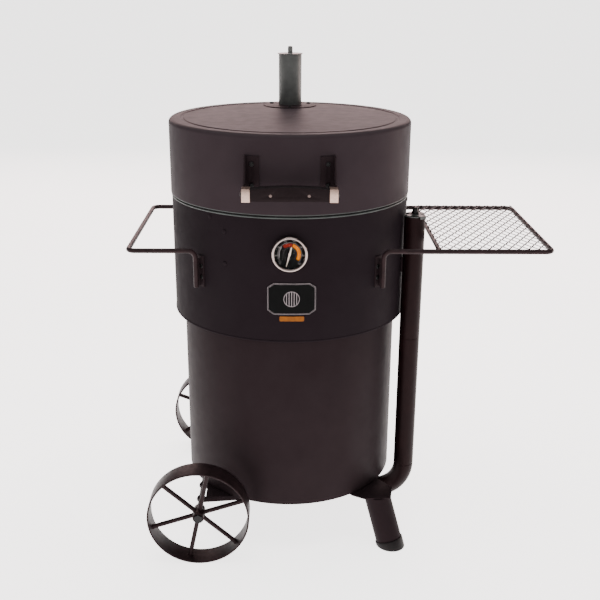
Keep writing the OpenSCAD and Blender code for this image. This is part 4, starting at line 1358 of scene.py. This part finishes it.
@dataclass
class RailsAndShelf:
    """Bent-rod hand rail on the left, and the mesh shelf on the right."""

    rod_r: float = 5.0
    height: float = 673.5
    arm_x: float = 190.0
    arm_y: float = 190.0
    foot: float = 596.5
    left_reach: float = 331.0
    right_reach: float = 537.0
    inner_bar: float = 303.0
    bend: float = 15.0
    diamond: tuple[float, float] = (20.0, 35.5)
    strand: tuple[float, float] = (2.4, 1.5)
    strand_lean: float = 24.0
    screw_heights: tuple[float, float] = (617.0, 640.0)
    screw_sites: tuple[tuple[float, int], ...] = ((45.2, 1), (-45.2, -1), (134.8, -1), (-134.8, 1))
    screw_aside: float = 3.0
    plate_r: float = 257.0

    def loop(self, reach: float, side: int) -> Shape:
        """One bent rod, from its front foot round to its rear foot.

        Args:
            reach: how far its outside lies from the drum's axis.
            side: 1 for the shelf's side, -1 for the rail's.

        Returns:
            The rod.
        """
        far, x, y, z = reach - self.rod_r, self.arm_x, self.arm_y, self.height
        corners = [(side * x, -y, self.foot), (side * x, -y, z), (side * far, -y, z),
                   (side * far, y, z), (side * x, y, z), (side * x, y, self.foot)]
        path = rounded(corners, self.bend, closed=False, steps=10)
        return Shape().pipe(path, self.rod_r, sides=28, edge=1.2)

    def mesh(self) -> None:
        """The shelf's expanded metal, welded on the frame's rods."""
        spacing = self.diamond[0] / 2
        room = self.right_reach - self.rod_r - self.inner_bar
        strands = int((room + 2) / spacing)
        left = self.inner_bar + (room - (strands - 1) * spacing) / 2
        sheet = SHOP.expanded(ROD_PAINT, strands, spacing, 2 * self.arm_y, self.diamond[1],
                              *self.strand, self.strand_lean)
        made = Shape().take(sheet, moved(left, -self.arm_y, self.height + self.rod_r + 0.6))
        place(made.piece("shelf_expanded_metal", ROD_PAINT), Body.SMOKER, Slot.ROD, "shelf_mesh")

    def feet(self) -> None:
        """Plates that hold the rods' feet, and their screws."""
        plates = softened("rail_plates", 0.5).piece("rail_foot_plates", STOVE_PAINT)
        place(plates, Body.SMOKER, Slot.BLACK, "rail_plates")
        screws = Shape()
        for height in self.screw_heights:
            for start, side in self.screw_sites:
                for part in (cap_screw(4.5, 2.2, 2.0), shank(2.9, -9, 0, turned("Y", 90))):
                    shifted = Shape().add(part.points, part.faces,
                                          moved(0, self.screw_aside * side, 0))
                    screws.take(SHOP.ring(shifted, BLACK_OXIDE, 1, self.plate_r, start),
                                moved(0, 0, height))
        place(screws.piece("rail_foot_screws", BLACK_OXIDE), Body.SMOKER, Slot.BLACK, "rail_screws")

    def build(self) -> None:
        """Builds rail, shelf and feet."""
        rail = self.loop(self.left_reach, -1).piece("hand_rail", ROD_PAINT)
        place(rail, Body.SMOKER, Slot.ROD, "left_rail")
        frame = self.loop(self.right_reach, 1).piece("shelf_rod_frame", ROD_PAINT)
        place(frame, Body.SMOKER, Slot.ROD, "shelf_frame")
        x, y, z = self.inner_bar, self.arm_y, self.height
        bar = Shape().pipe([(x, -y + 3, z), (x, y - 3, z)], self.rod_r - 0.5, sides=28, edge=0.5)
        place(bar.piece("shelf_inner_bar", ROD_PAINT), Body.SMOKER, Slot.ROD, "shelf_cross_bar")
        self.mesh()
        self.feet()


@dataclass
class AirPipe:
    """Air pipe beside the drum, with its daisy-wheel damper on top."""

    azimuth: float = -19.0
    away: float = 278.0
    radius: float = 22.0
    wall: float = 1.5
    top: float = 723.5
    joint: float = 452.0
    elbow_r: float = 78.0
    run: float = 64.0
    inlet: float = 90.0
    riser_r: float = 40.0
    riser_top: float = 129.5
    open_at: float = -55.0
    petals: int = 4

    def at(self) -> Matrix:
        """The pipe's upright plane."""
        return turned("Z", self.azimuth)

    def tube(self, name: str, node: str, path: Sequence[Point]) -> None:
        """One length of the pipe.

        Args:
            name: the piece's name.
            node: the CAD node that it stands for.
            path: its centre line in the pipe's plane.
        """
        made = Shape().pipe(path, self.radius, self.radius - self.wall, self.at(), 64, edge=0.5)
        place(made.piece(name, PIPE_PAINT), Body.SMOKER, Slot.BLACK, node)

    def bend(self, middle: Point, radius: float, first: float, last: float) -> list[Point]:
        """Centre line of a quarter bend in the upright plane, from angle to angle."""
        turns = [math.radians(first + (last - first) * k / 24) for k in range(25)]
        return [(middle[0] + radius * math.cos(t), 0.0, middle[1] + radius * math.sin(t))
                for t in turns]

    def build(self) -> None:
        """Builds pipe, sleeve, spacer and damper."""
        bend_z = self.run + self.elbow_r
        self.tube("air_pipe_upper", "intake_pipe_upper",
                  [(self.away, 0, self.joint), (self.away, 0, self.top)])
        self.tube("air_pipe_lower", "intake_pipe_lower",
                  [(self.away, 0, bend_z), (self.away, 0, self.joint)])
        self.tube("air_pipe_elbow", "intake_elbow",
                  self.bend((self.away - self.elbow_r, bend_z), self.elbow_r, 0, -90))
        riser_x = self.inlet + self.riser_r
        self.tube("air_pipe_run", "intake_run",
                  [(riser_x, 0, self.run), (self.away - self.elbow_r, 0, self.run)])
        rise = self.bend((riser_x, self.run + self.riser_r), self.riser_r, -90, -180)
        self.tube("air_pipe_riser", "intake_riser", rise + [(self.inlet, 0, self.riser_top)])
        paint("pipe_sleeve", FLAKE_PAINT)
        spacer = softened("pipe_standoff", 0.4).piece("air_pipe_spacer", STOVE_PAINT)
        place(spacer, Body.SMOKER, Slot.BLACK, "pipe_standoff")
        self.damper()

    def damper(self) -> None:
        """Fixed plate, turning petals and the nut on their stud."""
        plate = softened("damper_plate", 0.25).piece("damper_fixed_plate", FLAKE_PAINT)
        place(plate, Body.SMOKER, Slot.GREY, "damper_plate")
        stud = self.at() @ moved(self.away, 0, 0)
        low, thick, bore, washer_r = self.top + 1.8, 1.5, 3.05, 8.5
        turn, r = self.open_at - self.azimuth, self.radius
        petal = rounded([(3.6, -1.8), (r - 1.6, -8.4), (r - 0.4, -4.5), (r, 0), (r - 0.4, 4.5),
                         (r - 1.6, 8.4), (3.6, 1.8)], [0.2, 2.2, 3, 3, 3, 2.2, 0.2])
        rotor_at = stud @ moved(0, 0, low)
        lobes = Shape().take(SHOP.ring(
            Shape().slab(flattened(petal), 0, thick, None, 0.35), FLAKE_PAINT, self.petals, 0.0,
            turn), rotor_at)
        lobes.lathe(box_outline(bore, 9, 0.02, thick - 0.02), rotor_at, 48, 0.2)
        tab_at = stud @ turned("Z", turn) @ moved(0, 0, low)
        lobes.slab(box_outline(8, 26, -8, 8), 0.05, thick - 0.05, tab_at, 0.3)
        finger = Matrix(((0, 0, 1, 0), (1, 0, 0, 0), (0, 1, 0, 0), (0, 0, 0, 1)))
        lobes.slab(box_outline(-8, 8, -5, 1.2), 24.5, 26.0, tab_at @ finger, 0.3)
        place(lobes.piece("damper_petals", FLAKE_PAINT), Body.DAMPER, Slot.GREY, "damper_rotor")
        nut_at = stud @ moved(0, 0, low + 1.9)
        nut = Shape().lathe(box_outline(3.0, washer_r, 0, 1.5), nut_at, 48, 0.3)
        nut.slab(circle(8, 6, 30), 1.5, 6.5, nut_at, 0.6)
        dome = rounded([(0, 6.3), (5.5, 6.3), (5.5, 10), (4.2, 13.4), (2.4, 14.6), (0, 14.7)],
                       [0, 0.3, 2, 2, 1, 0])
        nut.lathe(dome, nut_at, 48)
        place(nut.piece("damper_cap_nut", BLACK_OXIDE), Body.SMOKER, Slot.BLACK, "damper_nut")


@dataclass
class Legs:
    """Two leaning tube legs with foot caps and gussets."""

    azimuth: float = 42.8
    top_r: float = 264.0
    foot_r: float = 308.0
    drum_z: float = 115.5
    top: float = 112.5
    foot_z: float = 2.5
    radius: float = 28.5
    wall: float = 2.0
    edge: float = 0.4

    def tube(self, side: int) -> Shape:
        """A leg, cut level at its top and its foot.

        Args:
            side: -1 for the front leg, 1 for the rear one.

        Returns:
            The tube.
        """
        turn = math.radians(self.azimuth * side)
        lean = math.atan((self.foot_r - self.top_r) / self.drum_z)
        down = Vector((math.sin(lean) * math.cos(turn), math.sin(lean) * math.sin(turn),
                       -math.cos(lean)))
        head = Vector((self.top_r * math.cos(turn), self.top_r * math.sin(turn), self.drum_z))
        a = Vector((-math.sin(turn), math.cos(turn), 0))
        b = down.cross(a)
        r, bore, e = self.radius, self.radius - self.wall, self.edge
        section = ((r, self.foot_z), (r, self.top - e), (r - e, self.top), (bore, self.top),
                   (bore, self.foot_z))
        sides, points, n = 72, [], len(section)
        for radius, height in section:
            for k in range(sides):
                t = 2 * math.pi * k / sides
                p = head + (a * math.cos(t) + b * math.sin(t)) * radius
                points.append(p + down * ((p.z - height) / -down.z))
        faces = [(j * sides + k, j * sides + (k + 1) % sides, (j + 1) % n * sides + (k + 1) % sides,
                  (j + 1) % n * sides + k) for j in range(n) for k in range(sides)]
        return Shape().add(points, faces)

    def build(self) -> None:
        """Builds legs, caps and gussets."""
        for side, name in ((-1, "front_leg"), (1, "rear_leg")):
            place(self.tube(side).piece(name + "_tube", STOVE_PAINT), Body.SMOKER, Slot.BLACK, name)
        caps = softened("foot_caps", 0.8, 3).piece("leg_foot_caps", NYLON)
        place(caps, Body.SMOKER, Slot.FOOT, "foot_caps")
        gussets = softened("leg_brackets", 0.5).piece("leg_gussets", STOVE_PAINT)
        place(gussets, Body.SMOKER, Slot.BLACK, "leg_brackets")


@dataclass
class Wheels:
    """Two flat-banded wheels with round spokes on one axle."""

    x: float = -193.0
    radius: float = 108.6
    band: float = 48.6
    thick: float = 3.6
    track: float = 564.0
    hub_r: float = 12.0
    hub_half: float = 20.0
    axle_r: float = 6.0
    spoke_r: float = 4.75
    spokes: int = 6
    front_turn: float = 12.0
    rear_turn: float = -9.0

    def middle(self) -> float:
        """Distance of a wheel's middle from the drum's axis, along the axle."""
        return self.track / 2 - self.band / 2

    def facing(self, side: int) -> Matrix:
        """Turns z along the axle towards the outside; side -1 is the front."""
        return turned("X", 90) if side < 0 else turned("X", 90) @ turned("Y", 180)

    def at(self, side: int) -> Matrix:
        """A wheel's own place."""
        return moved(self.x, side * self.middle(), self.radius) @ self.facing(side)

    def spoke(self) -> Shape:
        """A round spoke along +X that flares a little into the welds at both ends."""
        r, end = self.spoke_r, self.radius - self.thick
        line = [(0, self.hub_r - 1), (r + 1.0, self.hub_r - 1), (r + 0.5, self.hub_r + 1.2),
                (r, self.hub_r + 3), (r, end - 2.6), (r + 0.8, end - 1.0), (r + 1.6, end + 0.4),
                (0, end + 0.4)]
        return Shape().lathe(line, turned("Y", 90), 24)

    def wheel(self, side: int, body: Body, name: str) -> None:
        """Builds one wheel: band, spokes and hub.

        Args:
            side: -1 for the front, 1 for the rear.
            body: the body that turns.
            name: start of the pieces' and nodes' names.
        """
        place_at, half = self.at(side), self.band / 2
        line = box_outline(self.radius - self.thick, self.radius, -half, half)
        rim = Shape().lathe(line, place_at, 160, 0.9)
        place(rim.piece(name + "_band", ROD_PAINT), body, Slot.ROD, name + "_rim")
        start = 90 - self.front_turn if side < 0 else 90 + self.rear_turn
        bars = Shape().take(SHOP.ring(self.spoke(), ROD_PAINT, self.spokes, 0.0, start), place_at)
        place(bars.piece(name + "_round_spokes", ROD_PAINT), body, Slot.ROD, name + "_spokes")
        h, bore = self.hub_half, self.axle_r + 0.05
        line = [(bore, -h), (self.hub_r, -h), (self.hub_r, h), (bore, h)]
        hub = Shape().lathe(line, place_at, 64, 0.8)
        place(hub.piece(name + "_hub_tube", ROD_PAINT), body, Slot.ROD, name + "_hub")

    def axle(self) -> None:
        """Axle, collars, nuts and the brackets that carry the axle."""
        end = self.track / 2 - 2
        rod = Shape().pipe([(self.x, -end, self.radius), (self.x, end, self.radius)], self.axle_r,
                           sides=32, edge=1.2)
        place(rod.piece("axle_rod", ROD_PAINT), Body.SMOKER, Slot.ROD, "axle")
        nuts, gap = Shape(), 0.4
        inner, outer = self.middle() - self.hub_half - gap, self.middle() + self.hub_half + gap
        for side in (-1, 1):
            at = moved(self.x, 0, self.radius) @ self.facing(side)
            nuts.lathe(box_outline(self.axle_r, 10, inner - 4, inner), at, 48, 0.5)
            nuts.slab(circle(10.5, 6, 30), outer, outer + 3.5, at, 0.6)
        place(nuts.piece("axle_collars_and_nuts", BLACK_OXIDE), Body.SMOKER, Slot.GREY, "axle_nuts")
        ears = softened("axle_brackets", 0.4).piece("axle_folded_brackets", STOVE_PAINT)
        place(ears, Body.SMOKER, Slot.BLACK, "axle_brackets")

    def build(self) -> None:
        """Builds both wheels and the axle."""
        self.wheel(-1, Body.FRONT_WHEEL, "front_wheel")
        self.wheel(1, Body.REAR_WHEEL, "rear_wheel")
        self.axle()


@dataclass
class Lid:
    """Lift-off lid with its grip."""

    radius: float = 256.0
    sheet: float = 2.0
    low: float = 762.0
    top: float = 916.5
    round_r: float = 9.0
    groove: float = 228.0
    screw_x: float = 72.5
    screw_z: tuple[float, float] = (820.0, 861.0)
    grip_front: float = 318.0
    grip_z: float = 815.0
    grip_depth: float = 26.0
    grip_half: float = 89.0
    rivet_x: float = 35.5
    stack_y: float = 182.0
    stack_hole_r: float = 24.5
    # Height of the lighter ring at the lid's lower edge, a painted highlight.
    worn_edge: float = 1.6

    def shell(self) -> None:
        """Lid with a rounded edge and a pressed groove round its top."""
        r, t, g, s = self.radius, self.top, self.groove, self.sheet
        line = rounded(
            [(r - s, self.low), (r, self.low), (r, t), (g + 4.6, t), (g + 2.4, t - 1.7),
             (g - 2.4, t - 1.7), (g - 4.6, t), (0, t), (0, t - s), (g - 5, t - s),
             (g - 3.2, t - 3.7), (g + 3.2, t - 3.7), (g + 5, t - s), (r - s, t - s)],
            [0.8, 0.8, self.round_r, 3, 2.5, 2.5, 3, 0, 0, 2, 2, 2, 2, self.round_r - s],
            steps=8)
        # The lid takes the lighter copy of the stove paint: painted highlight.
        shell = Shape().lathe(line, turns=256).piece("lid_shell_pressed", LIT_LID_PAINT)
        place(shell, Body.LID, Slot.BLACK, "lid_shell")
        # A thin ring of lighter paint round the lid's lower edge: painted highlight.
        highlight_ring = Shape().lathe(box_outline(r - 0.6, r + 0.05, self.low, self.low + self.worn_edge),
                             turns=256, edge=0.3)
        place(highlight_ring.piece("lid_worn_edge", RIM_HIGHLIGHT_PAINT), Body.LID, Slot.BLACK)

    def build(self) -> None:
        """Builds shell, band, seal and grip."""
        self.shell_with_hole()
        band = softened("lid_lip", 0.4).piece("lid_inner_band", STOVE_PAINT)
        place(band, Body.LID, Slot.BLACK, "lid_lip")
        cord = Shape().lathe(box_outline(250.1, 253.4, 759.6, 769.9), edge=1.2)
        place(cord.piece("lid_seal_cord", GLASS_CORD), Body.LID, Slot.GASKET, "lid_gasket")
        self.grip()

    def shell_with_hole(self) -> None:
        """The shell, with the stack's round hole cut in its top."""
        self.shell()
        lid = bpy.data.objects["lid_shell_pressed"]
        cutter = Shape().lathe(box_outline(0, self.stack_hole_r, self.top - 12, self.top + 8),
                               moved(0, self.stack_y, 0), 96)
        fill = cutter.piece("hole_cutter", LIT_LID_PAINT)
        cut = lid.modifiers.new("stack_hole", "BOOLEAN")
        cut.operation = "DIFFERENCE"
        cut.object = fill
        cut.solver = "EXACT"
        bpy.context.view_layer.update()
        seen = lid.evaluated_get(bpy.context.evaluated_depsgraph_get())
        mesh = bpy.data.meshes.new_from_object(seen)
        lid.modifiers.remove(cut)
        lid.data = mesh
        bpy.data.objects.remove(fill)

    def grip(self) -> None:
        """Brackets, moulded grip, steel ferrules, rivets, bolts and screws."""
        brackets = softened("handle_brackets", 0.5).piece("grip_brackets", STOVE_PAINT)
        place(brackets, Body.LID, Slot.BLACK, "handle_brackets")
        handle = softened("handle_grip", 2.2, 3).piece("grip_moulding", PHENOLIC)
        place(handle, Body.LID, Slot.GRIP, "handle_grip")
        ends = softened("handle_ferrules", 0.5, 2).piece("grip_ferrules", BRUSHED_STEEL)
        place(ends, Body.LID, Slot.STEEL, "handle_ferrules")
        screws, rivets = Shape(), Shape()
        bolt_y, z = self.grip_depth / 2 - self.grip_front, self.grip_z
        skin = math.sqrt(self.radius ** 2 - self.screw_x ** 2)
        for side in (-1, 1):
            rivets.lathe([(0, 0.05), (2.95, 0.05), (2.95, 1.3), (2.3, 1.8), (0, 2.0)],
                         moved(side * self.rivet_x, 2.5 - self.grip_front, z) @ turned("X", 90), 32)
            end, x = side * self.grip_half, side * self.screw_x
            head = moved(end, bolt_y, z) @ turned("Z", 0 if side > 0 else 180)
            screws.take(SHOP.ring(cap_screw(5, 3, 2.4), BLACK_OXIDE, 1, 0.0), head)
            screws.pipe([(end - side * 26, bolt_y, z), (end + side * 0.2, bolt_y, z)], 2.9, sides=16)
            for height in self.screw_z:
                out = moved(x, -skin - 3.9, height) @ turned("Z", -90)
                screws.take(SHOP.ring(cap_screw(4.5, 2.5, 2.0), BLACK_OXIDE, 1, 0.0), out)
                screws.pipe([(x, -skin + 6, height), (x, -skin - 4, height)], 2.45, sides=16)
        place(screws.piece("grip_screws", BLACK_OXIDE), Body.LID, Slot.BLACK, "handle_bolts")
        place(rivets.piece("grip_rivets", RIVET_STEEL), Body.LID, Slot.STEEL)


@dataclass
class Stack:
    """Smoke stack on the lid, with the cap that screws up and down in it."""

    y: float = 182.0
    radius: float = 26.0
    wall: float = 1.5
    low: float = 916.5
    top: float = 1030.5
    flange_r: float = 61.0
    bolt_r: float = 49.0

    def build(self) -> None:
        """Builds tube, flange, screws, cross bar and cap."""
        at = moved(0, self.y, 0)
        inner = self.radius - self.wall
        tube = Shape().lathe(box_outline(inner, self.radius, self.low, self.top), at, 96, 0.5)
        place(tube.piece("stack_pipe", FLAKE_PAINT), Body.LID, Slot.GREY, "stack_tube")
        low = self.low
        flange = Shape().lathe([(self.radius, low), (self.flange_r, low), (self.flange_r, low + 1.5),
                                (self.radius + 2.2, low + 1.5), (self.radius, low + 3.4)], at, 128, 0.4)
        place(flange.piece("stack_base_flange", STOVE_PAINT), Body.LID, Slot.BLACK, "stack_flange")
        screws = Shape()
        head = cap_screw(5, 3, 2.2)
        upright = Shape().add(head.points, head.faces, turned("Y", -90))
        screws.take(SHOP.ring(upright, BLACK_OXIDE, 3, self.bolt_r, 30), moved(0, self.y, low + 1.5))
        screws.take(SHOP.ring(shank(2.4, -7, 1.5), BLACK_OXIDE, 3, self.bolt_r, 30),
                    at @ moved(0, 0, low))
        place(screws.piece("stack_flange_screws", BLACK_OXIDE), Body.LID, Slot.BLACK, "stack_screws")
        bar = softened("stack_bridge", 0.4).piece("stack_cross_bar", FLAKE_PAINT)
        place(bar, Body.LID, Slot.GREY, "stack_bridge")
        self.cap(at)

    def cap(self, at: Matrix) -> None:
        """Thin disc, stud and knob in one turned piece."""
        disc, t = self.radius + 3, self.top
        line = rounded([(0, t - 58), (4, t - 58), (4, t + 0.5), (disc - 1, t + 0.5), (disc, t + 1.2),
                        (disc - 1, t + 2), (6.6, t + 2), (5.5, t + 3), (5.5, t + 15), (4.6, t + 17),
                        (2.6, t + 17.8), (0, t + 18)],
                       [0, 1.2, 0.3, 0.5, 0.4, 0.5, 0.8, 0.8, 1.5, 1.2, 1, 0])
        place(Shape().lathe(line, at, 96).piece("stack_rain_cap", FLAKE_PAINT), Body.CAP, Slot.GREY,
              "stack_cap")


@dataclass
class Interior:
    """Cooking grate, charcoal basket, ash pan and bail."""

    grate_z: float = 625.0
    grate_r: float = 241.5
    pitch: float = 20.0
    basket_r: float = 165.0
    basket_z: float = 186.0
    basket_h: float = 130.0
    pan_z: float = 150.0
    bail_z: float = 323.0
    wire_r: float = 2.5
    handle_x: float = 110.0

    def grate(self) -> None:
        """Round cooking grate with its two lift handles."""
        z, r = self.grate_z, self.grate_r
        made = Shape().lathe(box_outline(r - 5, r, z - 2.98, z + 3), turns=160, edge=1.0)
        count = 2 * int((r - 8) / self.pitch) + 1
        made.take(SHOP.rods(PORCELAIN, count, self.pitch, r - 3, self.wire_r), moved(0, 0, z))
        for x in (-self.handle_x, self.handle_x):
            made.pipe([(x, -3 * self.pitch, z + 4.2), (x, 3 * self.pitch, z + 4.2)], self.wire_r,
                      sides=16)
            hoop = rounded([(x, -40, z + 4), (x, -40, z + 34), (x, 40, z + 34), (x, 40, z + 4)], 6.0,
                           False)
            made.pipe(hoop, self.wire_r, sides=16)
        place(made.piece("cooking_grate_rods", PORCELAIN), Body.GRATE, Slot.PORCELAIN, "cooking_grate")

    def basket(self) -> None:
        """Expanded-metal basket between two bands, with a floor of rods."""
        r, z, h = self.basket_r, self.basket_z, self.basket_h
        made = Shape()
        strands = 2 * round(math.pi * (r - 1) / 14)
        spacing = 2 * math.pi * (r - 1) / strands
        wall = SHOP.expanded(PORCELAIN, strands, spacing, h - 4, (h - 4) / 3, 2.8, 1.4, 18, r - 1)
        made.take(wall, moved(0, 0, z + 2))
        band = 14
        for low, high in ((z, z + band), (z + h - band, z + h)):
            made.lathe(box_outline(r - 1.4, r, low, high), turns=144, edge=0.3)
        made.take(SHOP.rods(PORCELAIN, 17, 18, r - 1.6, 2.2), moved(0, 0, z + 3))
        for side in (-1, 1):
            ear = rounded(box_outline(-9, 9, z + h - band, z + h + band), 4)
            along = Matrix(((0, 0, side, 0), (side, 0, 0, 0), (0, 1, 0, 0), (0, 0, 0, 1)))
            made.slab(flattened(ear), r - 1.6, r + 0.6, along, 0.3)
        place(made.piece("basket_wall_and_floor", PORCELAIN), Body.BASKET, Slot.PORCELAIN,
              "charcoal_basket")

    def pan(self) -> None:
        """Pressed ash pan on three posts, which also carry the basket."""
        r, z = self.basket_r - 5, self.pan_z
        line = rounded([(0, z), (r, z), (r, z + 22), (r - 1.5, z + 22), (r - 1.5, z + 1.5),
                        (0, z + 1.5)], [0, 4, 0.6, 0.6, 2.5, 0])
        made = Shape().lathe(line, turns=144)
        for post, low, high in ((6.0, 118.0, z + 0.5), (6.0, z + 1, self.basket_z)):
            single = Shape().slab(circle(post, 24), low, high, None, 0.5)
            made.take(SHOP.ring(single, PORCELAIN, 3, self.basket_r - 25, 60))
        place(made.piece("ash_pan_pressed", PORCELAIN), Body.BASKET, Slot.PORCELAIN, "ash_pan")

    def bail(self) -> None:
        """Wire bail, lying over towards the back."""
        r, z, length = self.basket_r + 5, self.bail_z, 70.0
        path = rounded([(-(r - 12), 0, z), (-r, 0, z), (-r, length, z), (r, length, z), (r, 0, z),
                        (r - 12, 0, z)], [0, 2.6, 10, 10, 2.6, 0], False)
        made = Shape().pipe(path, 2.45, sides=16)
        place(made.piece("basket_wire_bail", ZINC), Body.BAIL, Slot.ZINC, "basket_bail")

    def build(self) -> None:
        """Builds what stands inside the drum."""
        self.grate()
        self.basket()
        self.pan()
        self.bail()


@dataclass
class Studio:
    """Pale floor, soft lights and the camera."""

    eye: tuple[float, float, float] = (-0.103, -1.9459, 1.1869)
    lens: float = 55.0
    down: float = 19.186
    yaw: float = 0.689
    roll: float = 0.375
    world: float = 0.3
    glow: float = 3.0

    def floor(self) -> None:
        """A wide, plain, pale floor."""
        finish = Finish("painted_studio_floor", "e9e7e5", "f1efed", (0.7, 0.8), specular=0.2,
                        cloud_mm=900.0, grain_mm=3.0, grain_depth_mm=0.0)
        made = Shape().lathe([(0, -12), (150000, -12), (150000, -0.3), (0, -0.3)], None, 64)
        made.piece("studio_floor", finish)
        shader = next(n for n in finish.material().node_tree.nodes if n.type == "BSDF_PRINCIPLED")
        shader.inputs["Emission Color"].default_value = linear("fbf8f7")
        shader.inputs["Emission Strength"].default_value = self.glow

    def light(self, name: str, where: Point, target: Point, size: Point, power: float,
              tint: str = "ffffff") -> None:
        """A soft rectangular light.

        Args:
            name: its name.
            where: its place in metres.
            target: the point that it faces.
            size: its width and height.
            power: its power in watts.
            tint: its colour.
        """
        lamp = bpy.data.lights.new(name, "AREA")
        lamp.shape, lamp.size, lamp.size_y = "RECTANGLE", size[0], size[1]
        lamp.energy = power
        lamp.color = linear(tint)[:3]
        made = bpy.data.objects.new(name, lamp)
        aim = Vector(target) - Vector(where)
        made.matrix_world = Matrix.Translation(where) @ aim.to_track_quat("-Z", "Y").to_matrix(
            ).to_4x4()
        made.visible_camera = False
        bpy.context.scene.collection.objects.link(made)

    def camera(self) -> None:
        """The camera, set by its place, its pitch, its yaw and its roll."""
        p, y, r = (math.radians(v) for v in (self.down, self.yaw, self.roll))
        ahead = Vector((math.sin(y) * math.cos(p), math.cos(y) * math.cos(p), -math.sin(p)))
        right = Vector((math.cos(y), -math.sin(y), 0))
        up = right.cross(ahead)
        side = right * math.cos(r) + up * math.sin(r)
        head = up * math.cos(r) - right * math.sin(r)
        lens = bpy.data.cameras.new("studio_camera")
        lens.lens, lens.sensor_width = self.lens, 36.0
        made = bpy.data.objects.new("studio_camera", lens)
        made.matrix_world = Matrix.Translation(self.eye) @ Matrix(
            (side, head, -ahead)).transposed().to_4x4()
        bpy.context.scene.collection.objects.link(made)
        bpy.context.scene.camera = made

    def build(self) -> None:
        """Sets floor, world, lights and camera."""
        self.floor()
        sky = bpy.data.worlds.new("studio_world")
        sky.use_nodes = True
        sky.node_tree.nodes["Background"].inputs[0].default_value = linear("f6f4f3")
        sky.node_tree.nodes["Background"].inputs[1].default_value = self.world
        bpy.context.scene.world = sky
        middle = (-0.1, 0.0, 0.55)
        self.light("top_softbox", (-0.1, 0.2, 3.4), (-0.1, 0.0, 0.6), (3.0, 2.6), 110)
        self.light("back_softbox", (-0.1, 4.2, 2.3), (-0.1, 0.0, 0.9), (5.0, 1.8), 190, "ffdcd9")
        self.light("left_softbox", (-3.0, 1.4, 1.3), middle, (0.8, 2.2), 4, "ffe0da")
        self.light("right_softbox", (3.0, 1.6, 0.5), middle, (0.9, 2.0), 44, "ffdccf")
        self.light("front_fill", (-0.5, -3.6, 2.6), middle, (2.2, 1.4), 30)
        self.camera()


def main(frame: dict[str, Any]) -> None:
    """Builds every sub-assembly round the loaded frame.
    """
    logging.basicConfig(level=logging.INFO, format="%(message)s")
    FRAME.update(frame)
    for part in (Drum(), Thermometer(), Badge(), RailsAndShelf(), AirPipe(), Legs(), Wheels(), Lid(),
                 Stack(), Interior(), Studio()):
        LOG.info("building %s", type(part).__name__)
        part.build()


if __name__ == "__main__":
    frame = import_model()
    main(frame)
